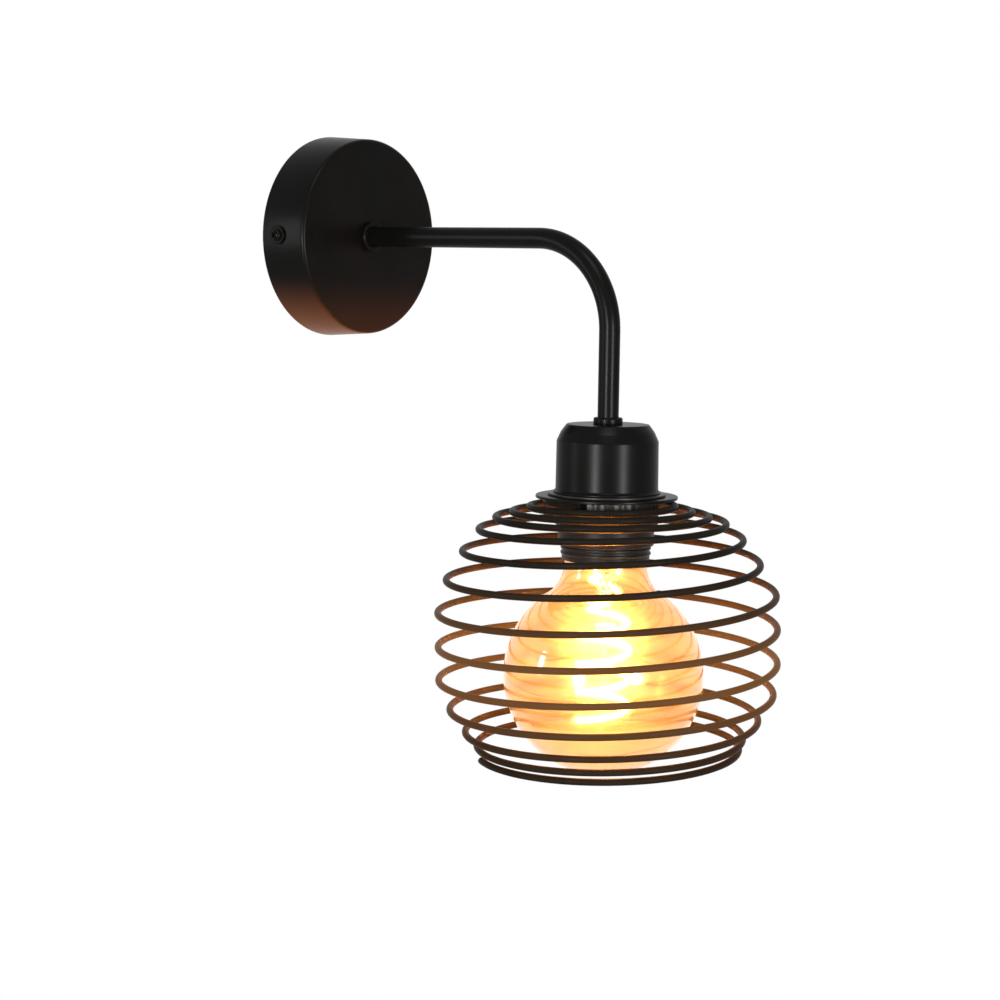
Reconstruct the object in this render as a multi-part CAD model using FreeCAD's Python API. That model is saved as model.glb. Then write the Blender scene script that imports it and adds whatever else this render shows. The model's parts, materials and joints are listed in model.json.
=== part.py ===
import FreeCAD, Part
import math
import os
from FreeCAD import Vector as V

# Wall light: a round wall canopy, a bent tube arm, a socket cup and a spiral wire cage round a globe bulb.
#
# Millimetres. The wall is the plane y = 0, the arm reaches along -Y, +Z is up.
# The origin is the centre of the canopy's back on the wall.
# Everything below the arm is turned about one upright line, "the drop", at y = -reach.

os.makedirs("parts", exist_ok=True)

# ---------------------------------------------------------------- driving sizes
canopy_back_r = 50.5
canopy_front_r = 48.8
canopy_depth = 26.5
canopy_wall = 1.0
canopy_edge_r = 2.2

tube_r = 5.0
tube_bore_r = 4.0
reach = 178.5
bend_r = 43.0
thread_gap = 0.04          # radial play of a nut or a collar on the tube

screw_y = -10.0            # the canopy's side screws
cup_top_z = -86.5
cup_bottom_z = -118.8
cup_flat_r = 19.3          # flat of the cup's top
cup_shoulder_z = -94.4     # where the sloping shoulder meets the upright side
cup_r = 24.2
cup_lip_r = 25.3
cup_wall = 1.2

sleeve_thread_r = 21.35    # outside thread of the lamp holder
sleeve_root_r = 20.85
sleeve_bore_r = 20.0
sleeve_end_z = -150.5
sleeve_flange_r = 27.8
thread_pitch = 2.5

core_top_z = -107.0        # heights of the pieces inside the lamp holder
core_seat_z = -110.0
core_end_z = -140.0
core_bore_r = 14.4
core_seat_r = 18.3
spigot_r = 19.5            # outside of the core's flange and of the dome's step
spigot_z = -104.8
shell_top_z = -113.2
shell_end_z = -138.8
clamp_x = 8.0              # the wire clamps and the rivets, each side of the drop
rivet_x = 12.0
rivet_r = 1.25

wire_r = 1.65              # the cage's wire
cage_plate_top_z = -120.0
cage_plate_t = 1.4
cage_plate_r = 33.5
cage_first_turn = 0.10     # where the wire starts and ends, in turns
cage_last_turn = 13.20
cage_first_r = 26.3        # centre-line radius at turn 0
cage_belly_r = 80.4
cage_step_r = 7.98         # outward step of each turn on the shoulder
cage_mouth_r = 62.3
cage_mouth_turn = 12.0
cage_draw_in = 7.33        # inward step of each turn towards the mouth
cage_flat_pitch = 2.50
cage_swell = 86.0          # extra drop of the steep middle turns
cage_swell_from = 3.25
cage_swell_turns = 9.25
cage_mouth_pitch = 3.80
cage_tilt_deg = 2.2        # the hand-wound cage hangs this far out of level
cage_tilt_turns = (1.5, 6.5)

bulb_r = 47.5
bulb_centre_z = -205.8
bulb_neck_r = 15.4
bulb_neck_z = -143.0
glass_wall = 0.9
cap_r = 13.1
cap_pitch = 3.629
cap_top_z = -119.6
cap_end_z = -142.6
insulator_r = 9.0

# ---------------------------------------------------------------- small helpers
ROUND = 360.0
X, Y, Z = V(1, 0, 0), V(0, 1, 0), V(0, 0, 1)
DROP = V(0, -reach, 0)


def save(name, shape):
    """Write one named piece and print what it is."""
    solids = shape.Solids
    shape = solids[0] if len(solids) == 1 else Part.makeCompound(solids)
    shape.exportStep("parts/" + name + ".step")
    print(f"{name:24s} solids {len(solids):2d}  volume {shape.Volume:10.1f}  valid {shape.isValid()}")
    return shape


def section(points):
    """Closed face in the XZ half-plane. A point is (r, z); a pair of points is an arc through the first."""
    edges = []
    here = V(points[0][0], 0, points[0][1])
    first = here
    for step in points[1:] + [points[0]]:
        if isinstance(step[0], tuple):
            middle, end = (V(p[0], 0, p[1]) for p in step)
            edges.append(Part.Arc(here, middle, end).toShape())
        else:
            end = V(step[0], 0, step[1])
            if (end - here).Length > 1e-9:
                edges.append(Part.makeLine(here, end))
        here = end
    if (here - first).Length > 1e-9:
        edges.append(Part.makeLine(here, first))
    return Part.Face(Part.Wire(edges))


def turned(points, centre=DROP):
    """A piece turned about an upright line through centre, from its half outline (r, z)."""
    shape = section(points).revolve(V(0, 0, 0), Z, ROUND)
    shape.translate(centre)
    return shape


def disc(r, low, high, bore=0.0, centre=DROP):
    """A flat ring or disc between two heights."""
    if bore > 0:
        return turned([(bore, low), (r, low), (r, high), (bore, high)], centre)
    return turned([(0, low), (r, low), (r, high), (0, high)], centre)


def block(x, y, z, low):
    return Part.makeBox(x, y, z, low)


def rod(r, length, start, direction):
    return Part.makeCylinder(r, length, start, direction)


def hex_nut(across, low, high, bore):
    """An upright hexagon nut at the origin."""
    corner_r = across / math.sqrt(3)
    ring = [V(corner_r * math.cos(math.radians(60 * i)), corner_r * math.sin(math.radians(60 * i)), low)
            for i in range(7)]
    nut = Part.Face(Part.makePolygon(ring)).extrude(V(0, 0, high - low))
    chamfer = turned([(0, low), (corner_r - 0.6, low), (corner_r, low + 0.5), (corner_r, high - 0.5),
                      (corner_r - 0.6, high), (0, high)], V(0, 0, 0))
    return nut.common(chamfer).cut(rod(bore, high - low + 2, V(0, 0, low - 1), Z))


def arc_middle(start, end, tangent):
    """The middle point of the arc from start to end that leaves start along tangent."""
    chord = end - start
    along = V(chord).normalize()
    side = tangent - along * tangent.dot(along)
    if side.Length < 1e-7:
        return None
    turn = math.atan2(side.Length, tangent.dot(along))
    return (start + end) * 0.5 + side.normalize() * (chord.Length / 2 * math.tan(turn / 2))


def arc_or_line(start, end, tangent):
    middle = arc_middle(start, end, tangent)
    return Part.makeLine(start, end) if middle is None else Part.Arc(start, middle, end).toShape()


def biarc(p1, t1, p2, t2):
    """Two tangent arcs from p1 to p2 with unit tangents t1 and t2 at the ends."""
    chord = p2 - p1
    both = t1 + t2
    spread = 2 * (1 - t1.dot(t2))
    if spread < 1e-9:
        reach_d = chord.dot(chord) / (4 * chord.dot(t2))
    else:
        lean = chord.dot(both)
        reach_d = (-lean + math.sqrt(lean * lean + spread * chord.dot(chord))) / spread
    joint = (p1 + p2 + (t1 - t2) * reach_d) * 0.5
    return [arc_or_line(p1, joint, t1), arc_or_line(p2, joint, t2 * -1)]


def tube_on(edges, r):
    """A round tube whose centre line is the edges."""
    path = Part.Wire(edges)
    start = path.OrderedVertexes[0].Point
    ahead = path.OrderedEdges[0]
    tangent = ahead.tangentAt(ahead.FirstParameter)
    if (ahead.valueAt(ahead.FirstParameter) - start).Length > 1e-6:
        tangent = ahead.tangentAt(ahead.LastParameter) * -1
    ring = Part.Wire(Part.makeCircle(r, start, tangent))
    return path.makePipeShell([ring], True, False)


def rounded_path(points, radii):
    """Straight runs through the points, with a tangent arc of the given radius at each inner one."""
    edges = []
    here = points[0]
    for i in range(1, len(points) - 1):
        before = (points[i] - points[i - 1]).normalize()
        after = (points[i + 1] - points[i]).normalize()
        half = math.acos(max(-1.0, min(1.0, before.dot(after)))) / 2
        cut = radii[i - 1] * math.tan(half)
        a, b = points[i] - before * cut, points[i] + after * cut
        if (a - here).Length > 1e-6:
            edges.append(Part.makeLine(here, a))
        edges.append(Part.Arc(a, arc_middle(a, b, before), b).toShape())
        here = b
    edges.append(Part.makeLine(here, points[-1]))
    return edges


# ---------------------------------------------------------------- wall side: bracket and canopy
bracket_t = 2.0
ear_x = 47.4               # outer face of the bracket's ears
ear_depth = 16.0
ear_height = 14.0
strap_half = 10.0
slot_x = 33.0
slot_r = 2.5
slot_length = 12.0
bracket_disc_r = 30.0
cable_hole_r = 6.0
cable_hole_z = -17.0
block_hole_r = 1.5         # fixing hole of the terminal block
block_hole_z = 20.0
earth_x = 16.0             # the earth screw
earth_z = -16.0
m4_r = 2.0


def wall_bracket():
    """Pressed steel strap with a round middle, two ears bent forwards and two wall slots."""
    plate = rod(bracket_disc_r, bracket_t, V(0, 0, 0), V(0, -1, 0))
    strap = block(2 * ear_x, bracket_t, 2 * strap_half, V(-ear_x, -bracket_t, -strap_half))
    body = plate.fuse(strap)
    for side in (-1, 1):
        low_x = side * ear_x - (bracket_t if side > 0 else 0)
        body = body.fuse(block(bracket_t, ear_depth, ear_height, V(low_x, -ear_depth, -ear_height / 2)))
    for side in (-1, 1):
        body = body.cut(rod(m4_r, 8, V(side * (ear_x - 4), screw_y, 0), V(side, 0, 0)))
        body = body.cut(wall_slot(side * slot_x))
    body = body.cut(rod(cable_hole_r, 6, V(0, 1, cable_hole_z), V(0, -1, 0)))
    body = body.cut(rod(m4_r, 6, V(earth_x, 1, earth_z), V(0, -1, 0)))
    body = body.cut(rod(block_hole_r, 6, V(0, 1, block_hole_z), V(0, -1, 0)))
    return body.removeSplitter()


def wall_slot(x):
    half = slot_length / 2 - slot_r
    middle = block(2 * half, 6, 2 * slot_r, V(x - half, -5, -slot_r))
    ends = [rod(slot_r, 6, V(x + s * half, 1, 0), V(0, -1, 0)) for s in (-1, 1)]
    return middle.fuse(ends)


def canopy():
    """Deep-drawn steel cup, a little wider at the wall, with a rounded front edge."""
    def outline(back_r, front_r, front, edge_r):
        cut = edge_r * (1 - math.sin(math.pi / 4))
        corner = (front_r - cut, front - cut)
        return [(0, 0), (back_r, 0), (front_r, front - edge_r), (corner, (front_r - edge_r, front)), (0, front)]

    outer = turned(outline(canopy_back_r, canopy_front_r, canopy_depth, canopy_edge_r), V(0, 0, 0))
    inner = turned(outline(canopy_back_r - canopy_wall, canopy_front_r - canopy_wall,
                           canopy_depth - canopy_wall, canopy_edge_r - canopy_wall), V(0, 0, 0))
    shell = outer.cut(inner)
    shell.rotate(V(0, 0, 0), X, 90)
    shell = shell.cut(rod(tube_r + 0.1, 10, V(0, -canopy_depth - 3, 0), Y))
    for side in (-1, 1):
        shell = shell.cut(rod(m4_r + 0.15, 12, V(side * 44, screw_y, 0), V(side, 0, 0)))
    return shell


def canopy_skin_x():
    """Outer radius of the canopy at the side screws."""
    return canopy_back_r - (canopy_back_r - canopy_front_r) * -screw_y / (canopy_depth - canopy_edge_r)


def side_screws():
    """Two cross-head screws that run through the canopy into the bracket's ears."""
    head_x = canopy_skin_x() + 0.9
    tip_x = 40.0
    screws = []
    for side in (-1, 1):
        head = turned([(0, 0), (3.0, 0), (3.0, 0.7), ((2.3, 1.9), (0, 2.4))], V(0, 0, 0))
        shank = rod(m4_r - 0.05, head_x - tip_x + 0.2, V(0, 0, tip_x - head_x), Z)
        screw = head.fuse(shank)
        for angle in (0, 90):
            wing = block(3.6, 0.8, 2.0, V(-1.8, -0.4, 1.0))
            wing.rotate(V(0, 0, 0), Z, angle)
            screw = screw.cut(wing)
        screw.rotate(V(0, 0, 0), Z, 45)
        screw.rotate(V(0, 0, 0), Y, 90 * side)
        screw.translate(V(side * head_x, screw_y, 0))
        screws.append(screw)
    return Part.makeCompound(screws)


def side_washers():
    """Cupped washers under the side screws' heads."""
    washers = []
    washer_bore_r = 2.15
    skin = canopy_skin_x()
    for side in (-1, 1):
        washer = turned([(washer_bore_r, 0.3), (4.2, 0.3), ((4.75, 0.45), (4.8, 0.8)), ((4.6, 1.1), (4.0, 0.9)),
                         (washer_bore_r, 0.9)], V(0, 0, 0))
        washer = washer.fuse(disc(3.4, 0.0, 0.3, washer_bore_r, V(0, 0, 0)))
        washer.rotate(V(0, 0, 0), Y, 90 * side)
        washer.translate(V(side * skin, screw_y, 0))
        bite = turned([(0, -1), (canopy_back_r + 0.07, -1), (canopy_front_r, canopy_depth - canopy_edge_r),
                       (0, canopy_depth)], V(0, 0, 0))
        bite.rotate(V(0, 0, 0), X, 90)
        washers.append(washer.cut(bite))
    return Part.makeCompound(washers)


# ---------------------------------------------------------------- wiring in the canopy
block_y = -bracket_t       # the terminal block stands on the bracket's plate
block_depth = 10.0
block_low_z = 14.5
block_high_z = 25.5
pole_pitch = 8.0
pole_y = block_y - block_depth / 2
barrel_r = 2.2
clamp_screw_zs = (block_low_z + 2.4, block_high_z - 2.4)
wire_skin_r = 1.1


def terminal_block():
    """Three-pole connector strip with a fixing hole between its barrels."""
    width = 3 * pole_pitch
    body = block(width, block_depth, block_high_z - block_low_z, V(-width / 2, block_y - block_depth, block_low_z))
    for pole in (-1, 0, 1):
        x = pole * pole_pitch
        body = body.cut(rod(barrel_r, 30, V(x, pole_y, block_low_z - 5), Z))
        for z in clamp_screw_zs:
            body = body.cut(rod(1.6, 8, V(x, block_y - block_depth - 1, z), Y))
    for x in (-pole_pitch / 2, pole_pitch / 2):
        body = body.cut(block(1.2, 2.6, 20, V(x - 0.6, block_y - block_depth - 1, block_low_z - 4)))
    return body


def terminal_barrels():
    """Brass tubes that clamp the wires."""
    barrels = []
    for pole in (-1, 0, 1):
        x = pole * pole_pitch
        barrel = rod(barrel_r, block_high_z - block_low_z - 1.0, V(x, pole_y, block_low_z + 0.5), Z)
        barrel = barrel.cut(rod(1.5, 30, V(x, pole_y, block_low_z - 5), Z))
        for z in clamp_screw_zs:
            barrel = barrel.cut(rod(1.1, 4, V(x, pole_y, z), V(0, -1, 0)))
        barrels.append(barrel)
    return Part.makeCompound(barrels)


def terminal_screws():
    """Slotted clamp screws, two to each barrel."""
    screws = []
    for pole in (-1, 0, 1):
        for z in clamp_screw_zs:
            start = V(pole * pole_pitch, pole_y - 1.45, z)
            screw = rod(1.05, 2.9, start, V(0, -1, 0))
            screw = screw.cut(block(0.5, 0.8, 3, start + V(-0.25, -3.1, -1.5)))
            screws.append(screw)
    return Part.makeCompound(screws)


def earth_screw():
    """Pan-head screw with a saddle washer, which holds the earth wire to the bracket."""
    saddle_y, head_y = -4.4, -5.2
    screw = rod(m4_r - 0.04, 6.2, V(earth_x, 0, earth_z), V(0, -1, 0))
    screw = screw.fuse(rod(4.0, 0.8, V(earth_x, saddle_y, earth_z), V(0, -1, 0)))
    screw = screw.fuse(rod(3.6, 2.2, V(earth_x, head_y, earth_z), V(0, -1, 0)))
    long, wide = 5.2, 0.9
    for x, z in ((long, wide), (wide, long)):
        screw = screw.cut(block(x, 1.0, z, V(earth_x - x / 2, head_y - 2.3, earth_z - z / 2)))
    return screw


def arm_wire(side):
    """One conductor from the terminal block, through the arm, to the lamp holder."""
    x = side * 1.35
    pole_x = side * pole_pitch
    points = [V(pole_x, pole_y, block_low_z - 0.4), V(pole_x, pole_y, 3.0), V(x, -13.5, 0.0), V(x, -reach, 0),
              V(x, -reach, -99.5), V(side * clamp_x, -reach, -101.5), V(side * clamp_x, -reach, -104.6)]
    return tube_on(rounded_path(points, [3.4, 3.0, bend_r, 2.6, 1.4]), wire_skin_r)


def earth_wire():
    """Short conductor from the block's middle pole to the earth screw, round the outside of the live wire."""
    low_y = -3.6
    points = [V(0, pole_y, block_low_z - 0.4), V(0, pole_y, 10.0), V(0, low_y, 7.0), V(17.0, low_y, 7.0),
              V(22.0, low_y, -8.0), V(19.6, low_y, -13.2)]
    return tube_on(rounded_path(points, [2.0, 2.0, 4.0, 4.0]), wire_skin_r - 0.2)


# ---------------------------------------------------------------- arm
tube_inner_end_y = -17.0
tube_lower_end_z = -99.0


def arm_tube():
    """Steel tube with one quarter bend, threaded at both ends."""
    points = [V(0, tube_inner_end_y, 0), V(0, -reach, 0), V(0, -reach, tube_lower_end_z)]
    path = rounded_path(points, [bend_r])
    return tube_on(path, tube_r).cut(tube_on(path, tube_bore_r))


def collar(r, t, edge):
    """Round nut on the tube with a small rounded front edge, upright at the origin, its back at z = 0."""
    slope = edge * (1 - math.sin(math.pi / 4))
    return turned([(tube_r + thread_gap, 0), (r, 0), (r, t - edge), ((r - slope, t - slope), (r - edge, t)),
                   (tube_r + thread_gap + 0.5, t), (tube_r + thread_gap, t - 0.5)], V(0, 0, 0))


def canopy_collar():
    shape = collar(7.5, 2.6, 0.9)
    shape.rotate(V(0, 0, 0), X, 90)
    shape.translate(V(0, -canopy_depth, 0))
    return shape


def arm_washer():
    """Toothed lock washer against the inside of the canopy's face."""
    ring = disc(9.0, 0, 1.0, tube_r + 0.2, V(0, 0, 0))
    for i in range(10):
        notch = block(2.0, 1.6, 2.0, V(8.0, -0.8, -0.5))
        notch.rotate(V(0, 0, 0), Z, 36 * i)
        ring = ring.cut(notch)
    ring.rotate(V(0, 0, 0), X, 90)
    ring.translate(V(0, -canopy_depth + canopy_wall + 1.0, 0))
    return ring


def arm_nut():
    nut = hex_nut(14.0, 0, 3.0, tube_r + thread_gap)
    nut.rotate(V(0, 0, 0), X, 90)
    nut.translate(V(0, -canopy_depth + canopy_wall + 4.0, 0))
    return nut


def cup_collar():
    shape = collar(6.9, 3.2, 0.9)
    shape.translate(V(0, -reach, cup_top_z))
    return shape


def cup_nut():
    nut = hex_nut(14.0, cup_top_z - cup_wall - 3.0, cup_top_z - cup_wall, tube_r + thread_gap)
    nut.translate(DROP)
    return nut


# ---------------------------------------------------------------- socket cup and lamp holder
def cup_outline(inset):
    """Half outline of the cup, drawn in by inset all round; the lip stays at the bottom."""
    top = cup_top_z - inset
    shoulder_middle = (22.0 - inset * 0.87, cup_top_z - 3.6 - inset * 0.5)
    shoulder_end = (23.9 - inset, cup_shoulder_z - inset * 0.2)
    return [(0, top), (cup_flat_r - inset * 0.6, top), (shoulder_middle, shoulder_end),
            (cup_r - inset, cup_bottom_z + 2.0)]


def socket_cup():
    """Spun steel cup with a sloping shoulder and a rolled lip."""
    lip = ((cup_r + 0.4, cup_bottom_z + 0.9), (cup_lip_r, cup_bottom_z + 0.5))
    outer = cup_outline(0) + [lip, (cup_lip_r, cup_bottom_z), (0, cup_bottom_z)]
    inner = cup_outline(cup_wall) + [(cup_r - cup_wall, cup_bottom_z - 1), (0, cup_bottom_z - 1)]
    cup = turned(outer).cut(turned(inner))
    return cup.cut(rod(tube_r + 0.1, 6, DROP + V(0, 0, cup_top_z - 4), Z))


def holder_cap():
    """Dome of the lamp holder, screwed onto the end of the arm."""
    thread_r = tube_r + thread_gap
    hub_r, dome_r, dome_top_z = 7.0, 20.0, -94.0
    outside = [(thread_r, -91.5), (hub_r, -91.5), (hub_r, dome_top_z), (16.0, dome_top_z),
               ((18.9, dome_top_z - 1.1), (dome_r, dome_top_z - 4.0)), (dome_r, spigot_z), (spigot_r, spigot_z),
               (spigot_r, core_top_z)]
    inside = [(core_seat_r, core_top_z), (core_seat_r, dome_top_z - 4.4),
              ((17.6, dome_top_z - 2.3), (15.8, dome_top_z - 1.6)), (hub_r, dome_top_z - 1.6),
              (hub_r, dome_top_z - 4.2), (thread_r, dome_top_z - 4.2)]
    return turned(outside + inside)


def holder_sleeve():
    """Threaded outer sleeve of the lamp holder with the flange that closes the cup."""
    top_z = spigot_z - 0.2
    top_bore_r = spigot_r + 0.05
    flange_low_z = cage_plate_top_z + 0.1
    profile = [(top_bore_r, top_z), (sleeve_thread_r, top_z), (sleeve_thread_r, cup_bottom_z),
               (sleeve_flange_r, cup_bottom_z), (sleeve_flange_r, flange_low_z), (sleeve_thread_r, flange_low_z)]
    z = cage_plate_top_z - 1.2
    while z - thread_pitch > sleeve_end_z + 0.6:
        profile += [(sleeve_thread_r, z), (sleeve_root_r, z - 0.45)]
        profile += [(sleeve_root_r, z - 1.45), (sleeve_thread_r, z - 1.9)]
        z -= thread_pitch
    profile += [(sleeve_thread_r, sleeve_end_z + 0.4), (sleeve_thread_r - 0.4, sleeve_end_z)]
    profile += [(sleeve_bore_r, sleeve_end_z), (sleeve_bore_r, core_seat_z - 1.6), (core_seat_r, core_seat_z - 1.6)]
    profile += [(core_seat_r, core_seat_z), (top_bore_r, core_seat_z)]
    return turned(profile)


def holder_core():
    """Porcelain core that carries the screw shell and the contacts."""
    stalk_r = 17.6
    core = turned([(0, core_top_z), (spigot_r, core_top_z), (spigot_r, core_seat_z), (stalk_r, core_seat_z),
                   (stalk_r, core_end_z + 1.0), (stalk_r - 0.6, core_end_z), (core_bore_r, core_end_z),
                   (core_bore_r, shell_top_z), (0, shell_top_z)])
    for side in (-1, 1):
        core = core.cut(rod(1.6, 5.0, DROP + V(side * clamp_x, 0, core_top_z - 1.9), Z))
    for x in (-rivet_x, 0, rivet_x):
        core = core.cut(rod(rivet_r + 0.05, 9, DROP + V(x, 0, shell_top_z - 0.8), Z))
    return core


def screw_shell():
    """Rolled brass shell that takes the bulb's cap."""
    wall, r, hole_r = 0.5, 14.3, 8.0
    profile = [(hole_r, shell_top_z), (r, shell_top_z)]
    z = shell_top_z - 1.4
    while z - cap_pitch > shell_end_z + 0.2:
        profile += [(r, z), (r - 0.25, z - cap_pitch / 2)]
        z -= cap_pitch
    profile += [(r, z), (r, shell_end_z), (r - wall, shell_end_z), (r - wall, z)]
    while z + cap_pitch < shell_top_z - 0.8:
        profile += [(r - wall - 0.25, z + cap_pitch / 2), (r - wall, z + cap_pitch)]
        z += cap_pitch
    profile += [(r - wall, shell_top_z - wall), (hole_r, shell_top_z - wall)]
    return turned(profile)


def contact_tongue():
    """Sprung brass tongue that meets the bulb's foot."""
    t, wide, tip_z = 0.6, 6.0, shell_top_z - 2.7
    foot = block(9.0, wide, t, DROP + V(-2.0, -wide / 2, shell_top_z - t))
    rise = block(t, wide, shell_top_z - t - tip_z, DROP + V(-2.0, -wide / 2, tip_z))
    tip = block(6.5, wide, t, DROP + V(-2.0, -wide / 2, tip_z))
    return foot.fuse([rise, tip]).removeSplitter()


def holder_rivets():
    """Rivets through the core: the middle one holds the tongue, the outer pair the shell."""
    rivets = []
    for x in (-rivet_x, 0, rivet_x):
        rivet = rod(rivet_r, core_top_z - shell_top_z, DROP + V(x, 0, shell_top_z), Z)
        rivets.append(rivet.fuse(rod(2.2, 0.7, DROP + V(x, 0, core_top_z), Z)))
    return Part.makeCompound(rivets)


def wire_clamps():
    """Brass clamp blocks on the core where the two conductors end."""
    clamps = []
    for side in (-1, 1):
        clamp = block(4.4, 5.0, 2.2, DROP + V(side * clamp_x - 2.2, -2.5, core_top_z))
        clamp = clamp.cut(rod(1.25, 4, DROP + V(side * clamp_x, 0, core_top_z - 1.0), Z))
        clamp = clamp.cut(rod(2.3, 4, DROP + V(side * rivet_x, 0, core_top_z - 1.0), Z))
        clamps.append(clamp)
    return Part.makeCompound(clamps)


# ---------------------------------------------------------------- shade ring and cage
ring_play = 0.35           # radial play between the ring's bore and the sleeve's thread
ring_top_z = cage_plate_top_z - cage_plate_t - 0.02
ring_r = 24.5
ring_grip_end_z = -132.2   # end of the fluted grip
ring_skirt_r = 22.7
ring_end_z = -143.4


def shade_ring():
    """Hand-turned ring that clamps the cage up against the lamp holder's flange."""
    bore = sleeve_thread_r + ring_play
    grip = [(bore, ring_top_z), (ring_r - 0.4, ring_top_z), (ring_r, ring_top_z - 0.4), (ring_r, ring_grip_end_z),
            ((ring_r - 0.2, ring_grip_end_z - 0.7), (ring_r - 0.7, ring_grip_end_z - 1.1))]
    skirt = [(ring_skirt_r, -136.0), (ring_skirt_r, ring_end_z + 2.5),
             ((ring_skirt_r - 0.1, ring_end_z + 1.0), (bore + 0.25, ring_end_z)), (bore, ring_end_z)]
    return turned(grip + skirt)


def cage_radius(turn):
    """Centre-line radius of the wire after so many turns: shoulder, belly, then drawn in to the mouth."""
    shoulder = cage_first_r + cage_step_r * turn
    tuck = cage_mouth_r + cage_draw_in * (cage_mouth_turn - turn)
    soft = 1.2

    def lesser(a, b):
        return (a + b - math.sqrt((a - b) ** 2 + soft * soft)) / 2

    def greater(a, b):
        return (a + b + math.sqrt((a - b) ** 2 + soft * soft)) / 2

    return lesser(lesser(shoulder, cage_belly_r), greater(tuck, cage_mouth_r))


def cage_drop(turn):
    """Height of the wire below its start: flat turns at both ends and steep ones between."""
    u = max(0.0, min(1.0, (turn - cage_swell_from) / cage_swell_turns))
    flat = cage_flat_pitch * min(turn, cage_mouth_turn)
    mouth = cage_mouth_pitch * max(0.0, turn - cage_mouth_turn)
    return flat + mouth + cage_swell * u * u * (3 - 2 * u)


cage_start_z = cage_plate_top_z - cage_plate_t - wire_r - 0.03
cage_front_deg = -140.6    # compass direction, from +X, at which whole turns are counted


def cage_point(turn):
    """A point on the wire's centre line, in the lamp's frame."""
    angle = math.radians(cage_front_deg - 360 * turn)
    r = cage_radius(turn)
    p = V(r * math.cos(angle), r * math.sin(angle), cage_start_z - cage_drop(turn) + cage_drop(cage_first_turn))
    start, full = cage_tilt_turns
    share = max(0.0, min(1.0, (turn - start) / (full - start)))
    tilt = -math.radians(cage_tilt_deg) * share * share * (3 - 2 * share)
    dz = p.z - cage_start_z
    x = p.x * math.cos(tilt) + dz * math.sin(tilt)
    z = -p.x * math.sin(tilt) + dz * math.cos(tilt)
    return V(x, p.y - reach, z + cage_start_z)


def cage_tangent(turn):
    step = 1e-4
    return (cage_point(turn + step) - cage_point(turn - step)).normalize()


def cage_wire():
    """The cage: one wire from the plate's lug to its free end round the mouth, in quarter-turn biarcs."""
    straight = 2 * wire_r
    quarters = 4 * (cage_last_turn - cage_first_turn)
    count = int(round(quarters))
    stops = [cage_first_turn + (cage_last_turn - cage_first_turn) * i / count for i in range(count + 1)]
    points = [cage_point(t) for t in stops]
    tangents = [cage_tangent(t) for t in stops]
    edges = [Part.makeLine(points[0] - tangents[0] * straight, points[0])]
    for i in range(count):
        edges += biarc(points[i], tangents[i], points[i + 1], tangents[i + 1])
    edges.append(Part.makeLine(points[-1], points[-1] + tangents[-1] * straight))
    report_gap(edges)
    tube = tube_on(edges, wire_r)
    length = sum(e.Length for e in edges)
    print(f"cage wire: {cage_last_turn - cage_first_turn:.1f} turns, length {length:.0f} mm, "
          f"tightest bend {min(cage_radius(t) for t in stops):.1f} mm, "
          f"volume against section times length {tube.Volume / (math.pi * wire_r ** 2 * length):.4f}")
    return tube, points[0] - tangents[0] * straight, tangents[0]


def report_gap(edges):
    """Print the least gap between the wire's turns, measured on points along its centre line."""
    line = [p for e in edges for p in e.discretize(18)]
    least = 1e9
    per_turn = 18 * 8
    for i, p in enumerate(line):
        for q in line[i + per_turn // 2::2]:
            least = min(least, p.distanceToPoint(q))
    print(f"cage wire: least gap to itself {least - 2 * wire_r:.2f} mm")


def cage_plate(wire_end, wire_tangent):
    """Flat ring under the lamp holder's flange, with a lug that the wire's inner end butts against."""
    plate = disc(cage_plate_r, cage_plate_top_z - cage_plate_t, cage_plate_top_z, sleeve_thread_r + 0.5)
    lug_t, lug_w, lug_h = 1.8, 5.0, 3.8
    lug = block(lug_t, lug_w, lug_h, V(-lug_t, -lug_w / 2, 0))
    heading = math.degrees(math.atan2(wire_tangent.y, wire_tangent.x))
    slope = math.degrees(math.asin(wire_tangent.z))
    lug.rotate(V(0, 0, 0), Y, -slope)
    lug.rotate(V(0, 0, 0), Z, heading)
    lug.translate(V(wire_end.x, wire_end.y, wire_end.z - wire_r - 0.2))
    keep = Part.makeBox(200, 400, 40, V(-100, -400, cage_plate_top_z - cage_plate_t - 39.9))
    return plate.fuse(lug.common(keep)).removeSplitter()


# ---------------------------------------------------------------- bulb
def globe_join(inset):
    """Radius of the globe and the point (r, z) where the neck joins it, both drawn in by inset."""
    r = bulb_r - inset
    join_deg = 52.0
    join = (r * math.cos(math.radians(join_deg)), bulb_centre_z + r * math.sin(math.radians(join_deg)))
    return r, join


def bulb_glass():
    """Blown globe with a long flared neck, open only at the cap end."""
    r, join = globe_join(0)
    ri, join_i = globe_join(glass_wall)
    neck = [((18.2, -146.6), (19.3, -151.0)), ((20.2, -157.2), (22.6, -162.6)), ((25.4, -165.9), join)]
    neck_i = [((17.2, -147.0), (18.3, -151.4)), ((19.2, -157.6), (21.7, -163.1)), ((24.5, -166.5), join_i)]
    outer = [(0, bulb_neck_z), (bulb_neck_r, bulb_neck_z)] + neck + [((r, bulb_centre_z), (0, bulb_centre_z - r))]
    mouth_r = bulb_neck_r - 1.2
    inner = [(0, bulb_neck_z + 1), (mouth_r, bulb_neck_z + 1), (mouth_r, bulb_neck_z - 0.4)] + neck_i
    inner += [((ri, bulb_centre_z), (0, bulb_centre_z - ri))]
    return turned(outer).cut(turned(inner))


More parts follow.
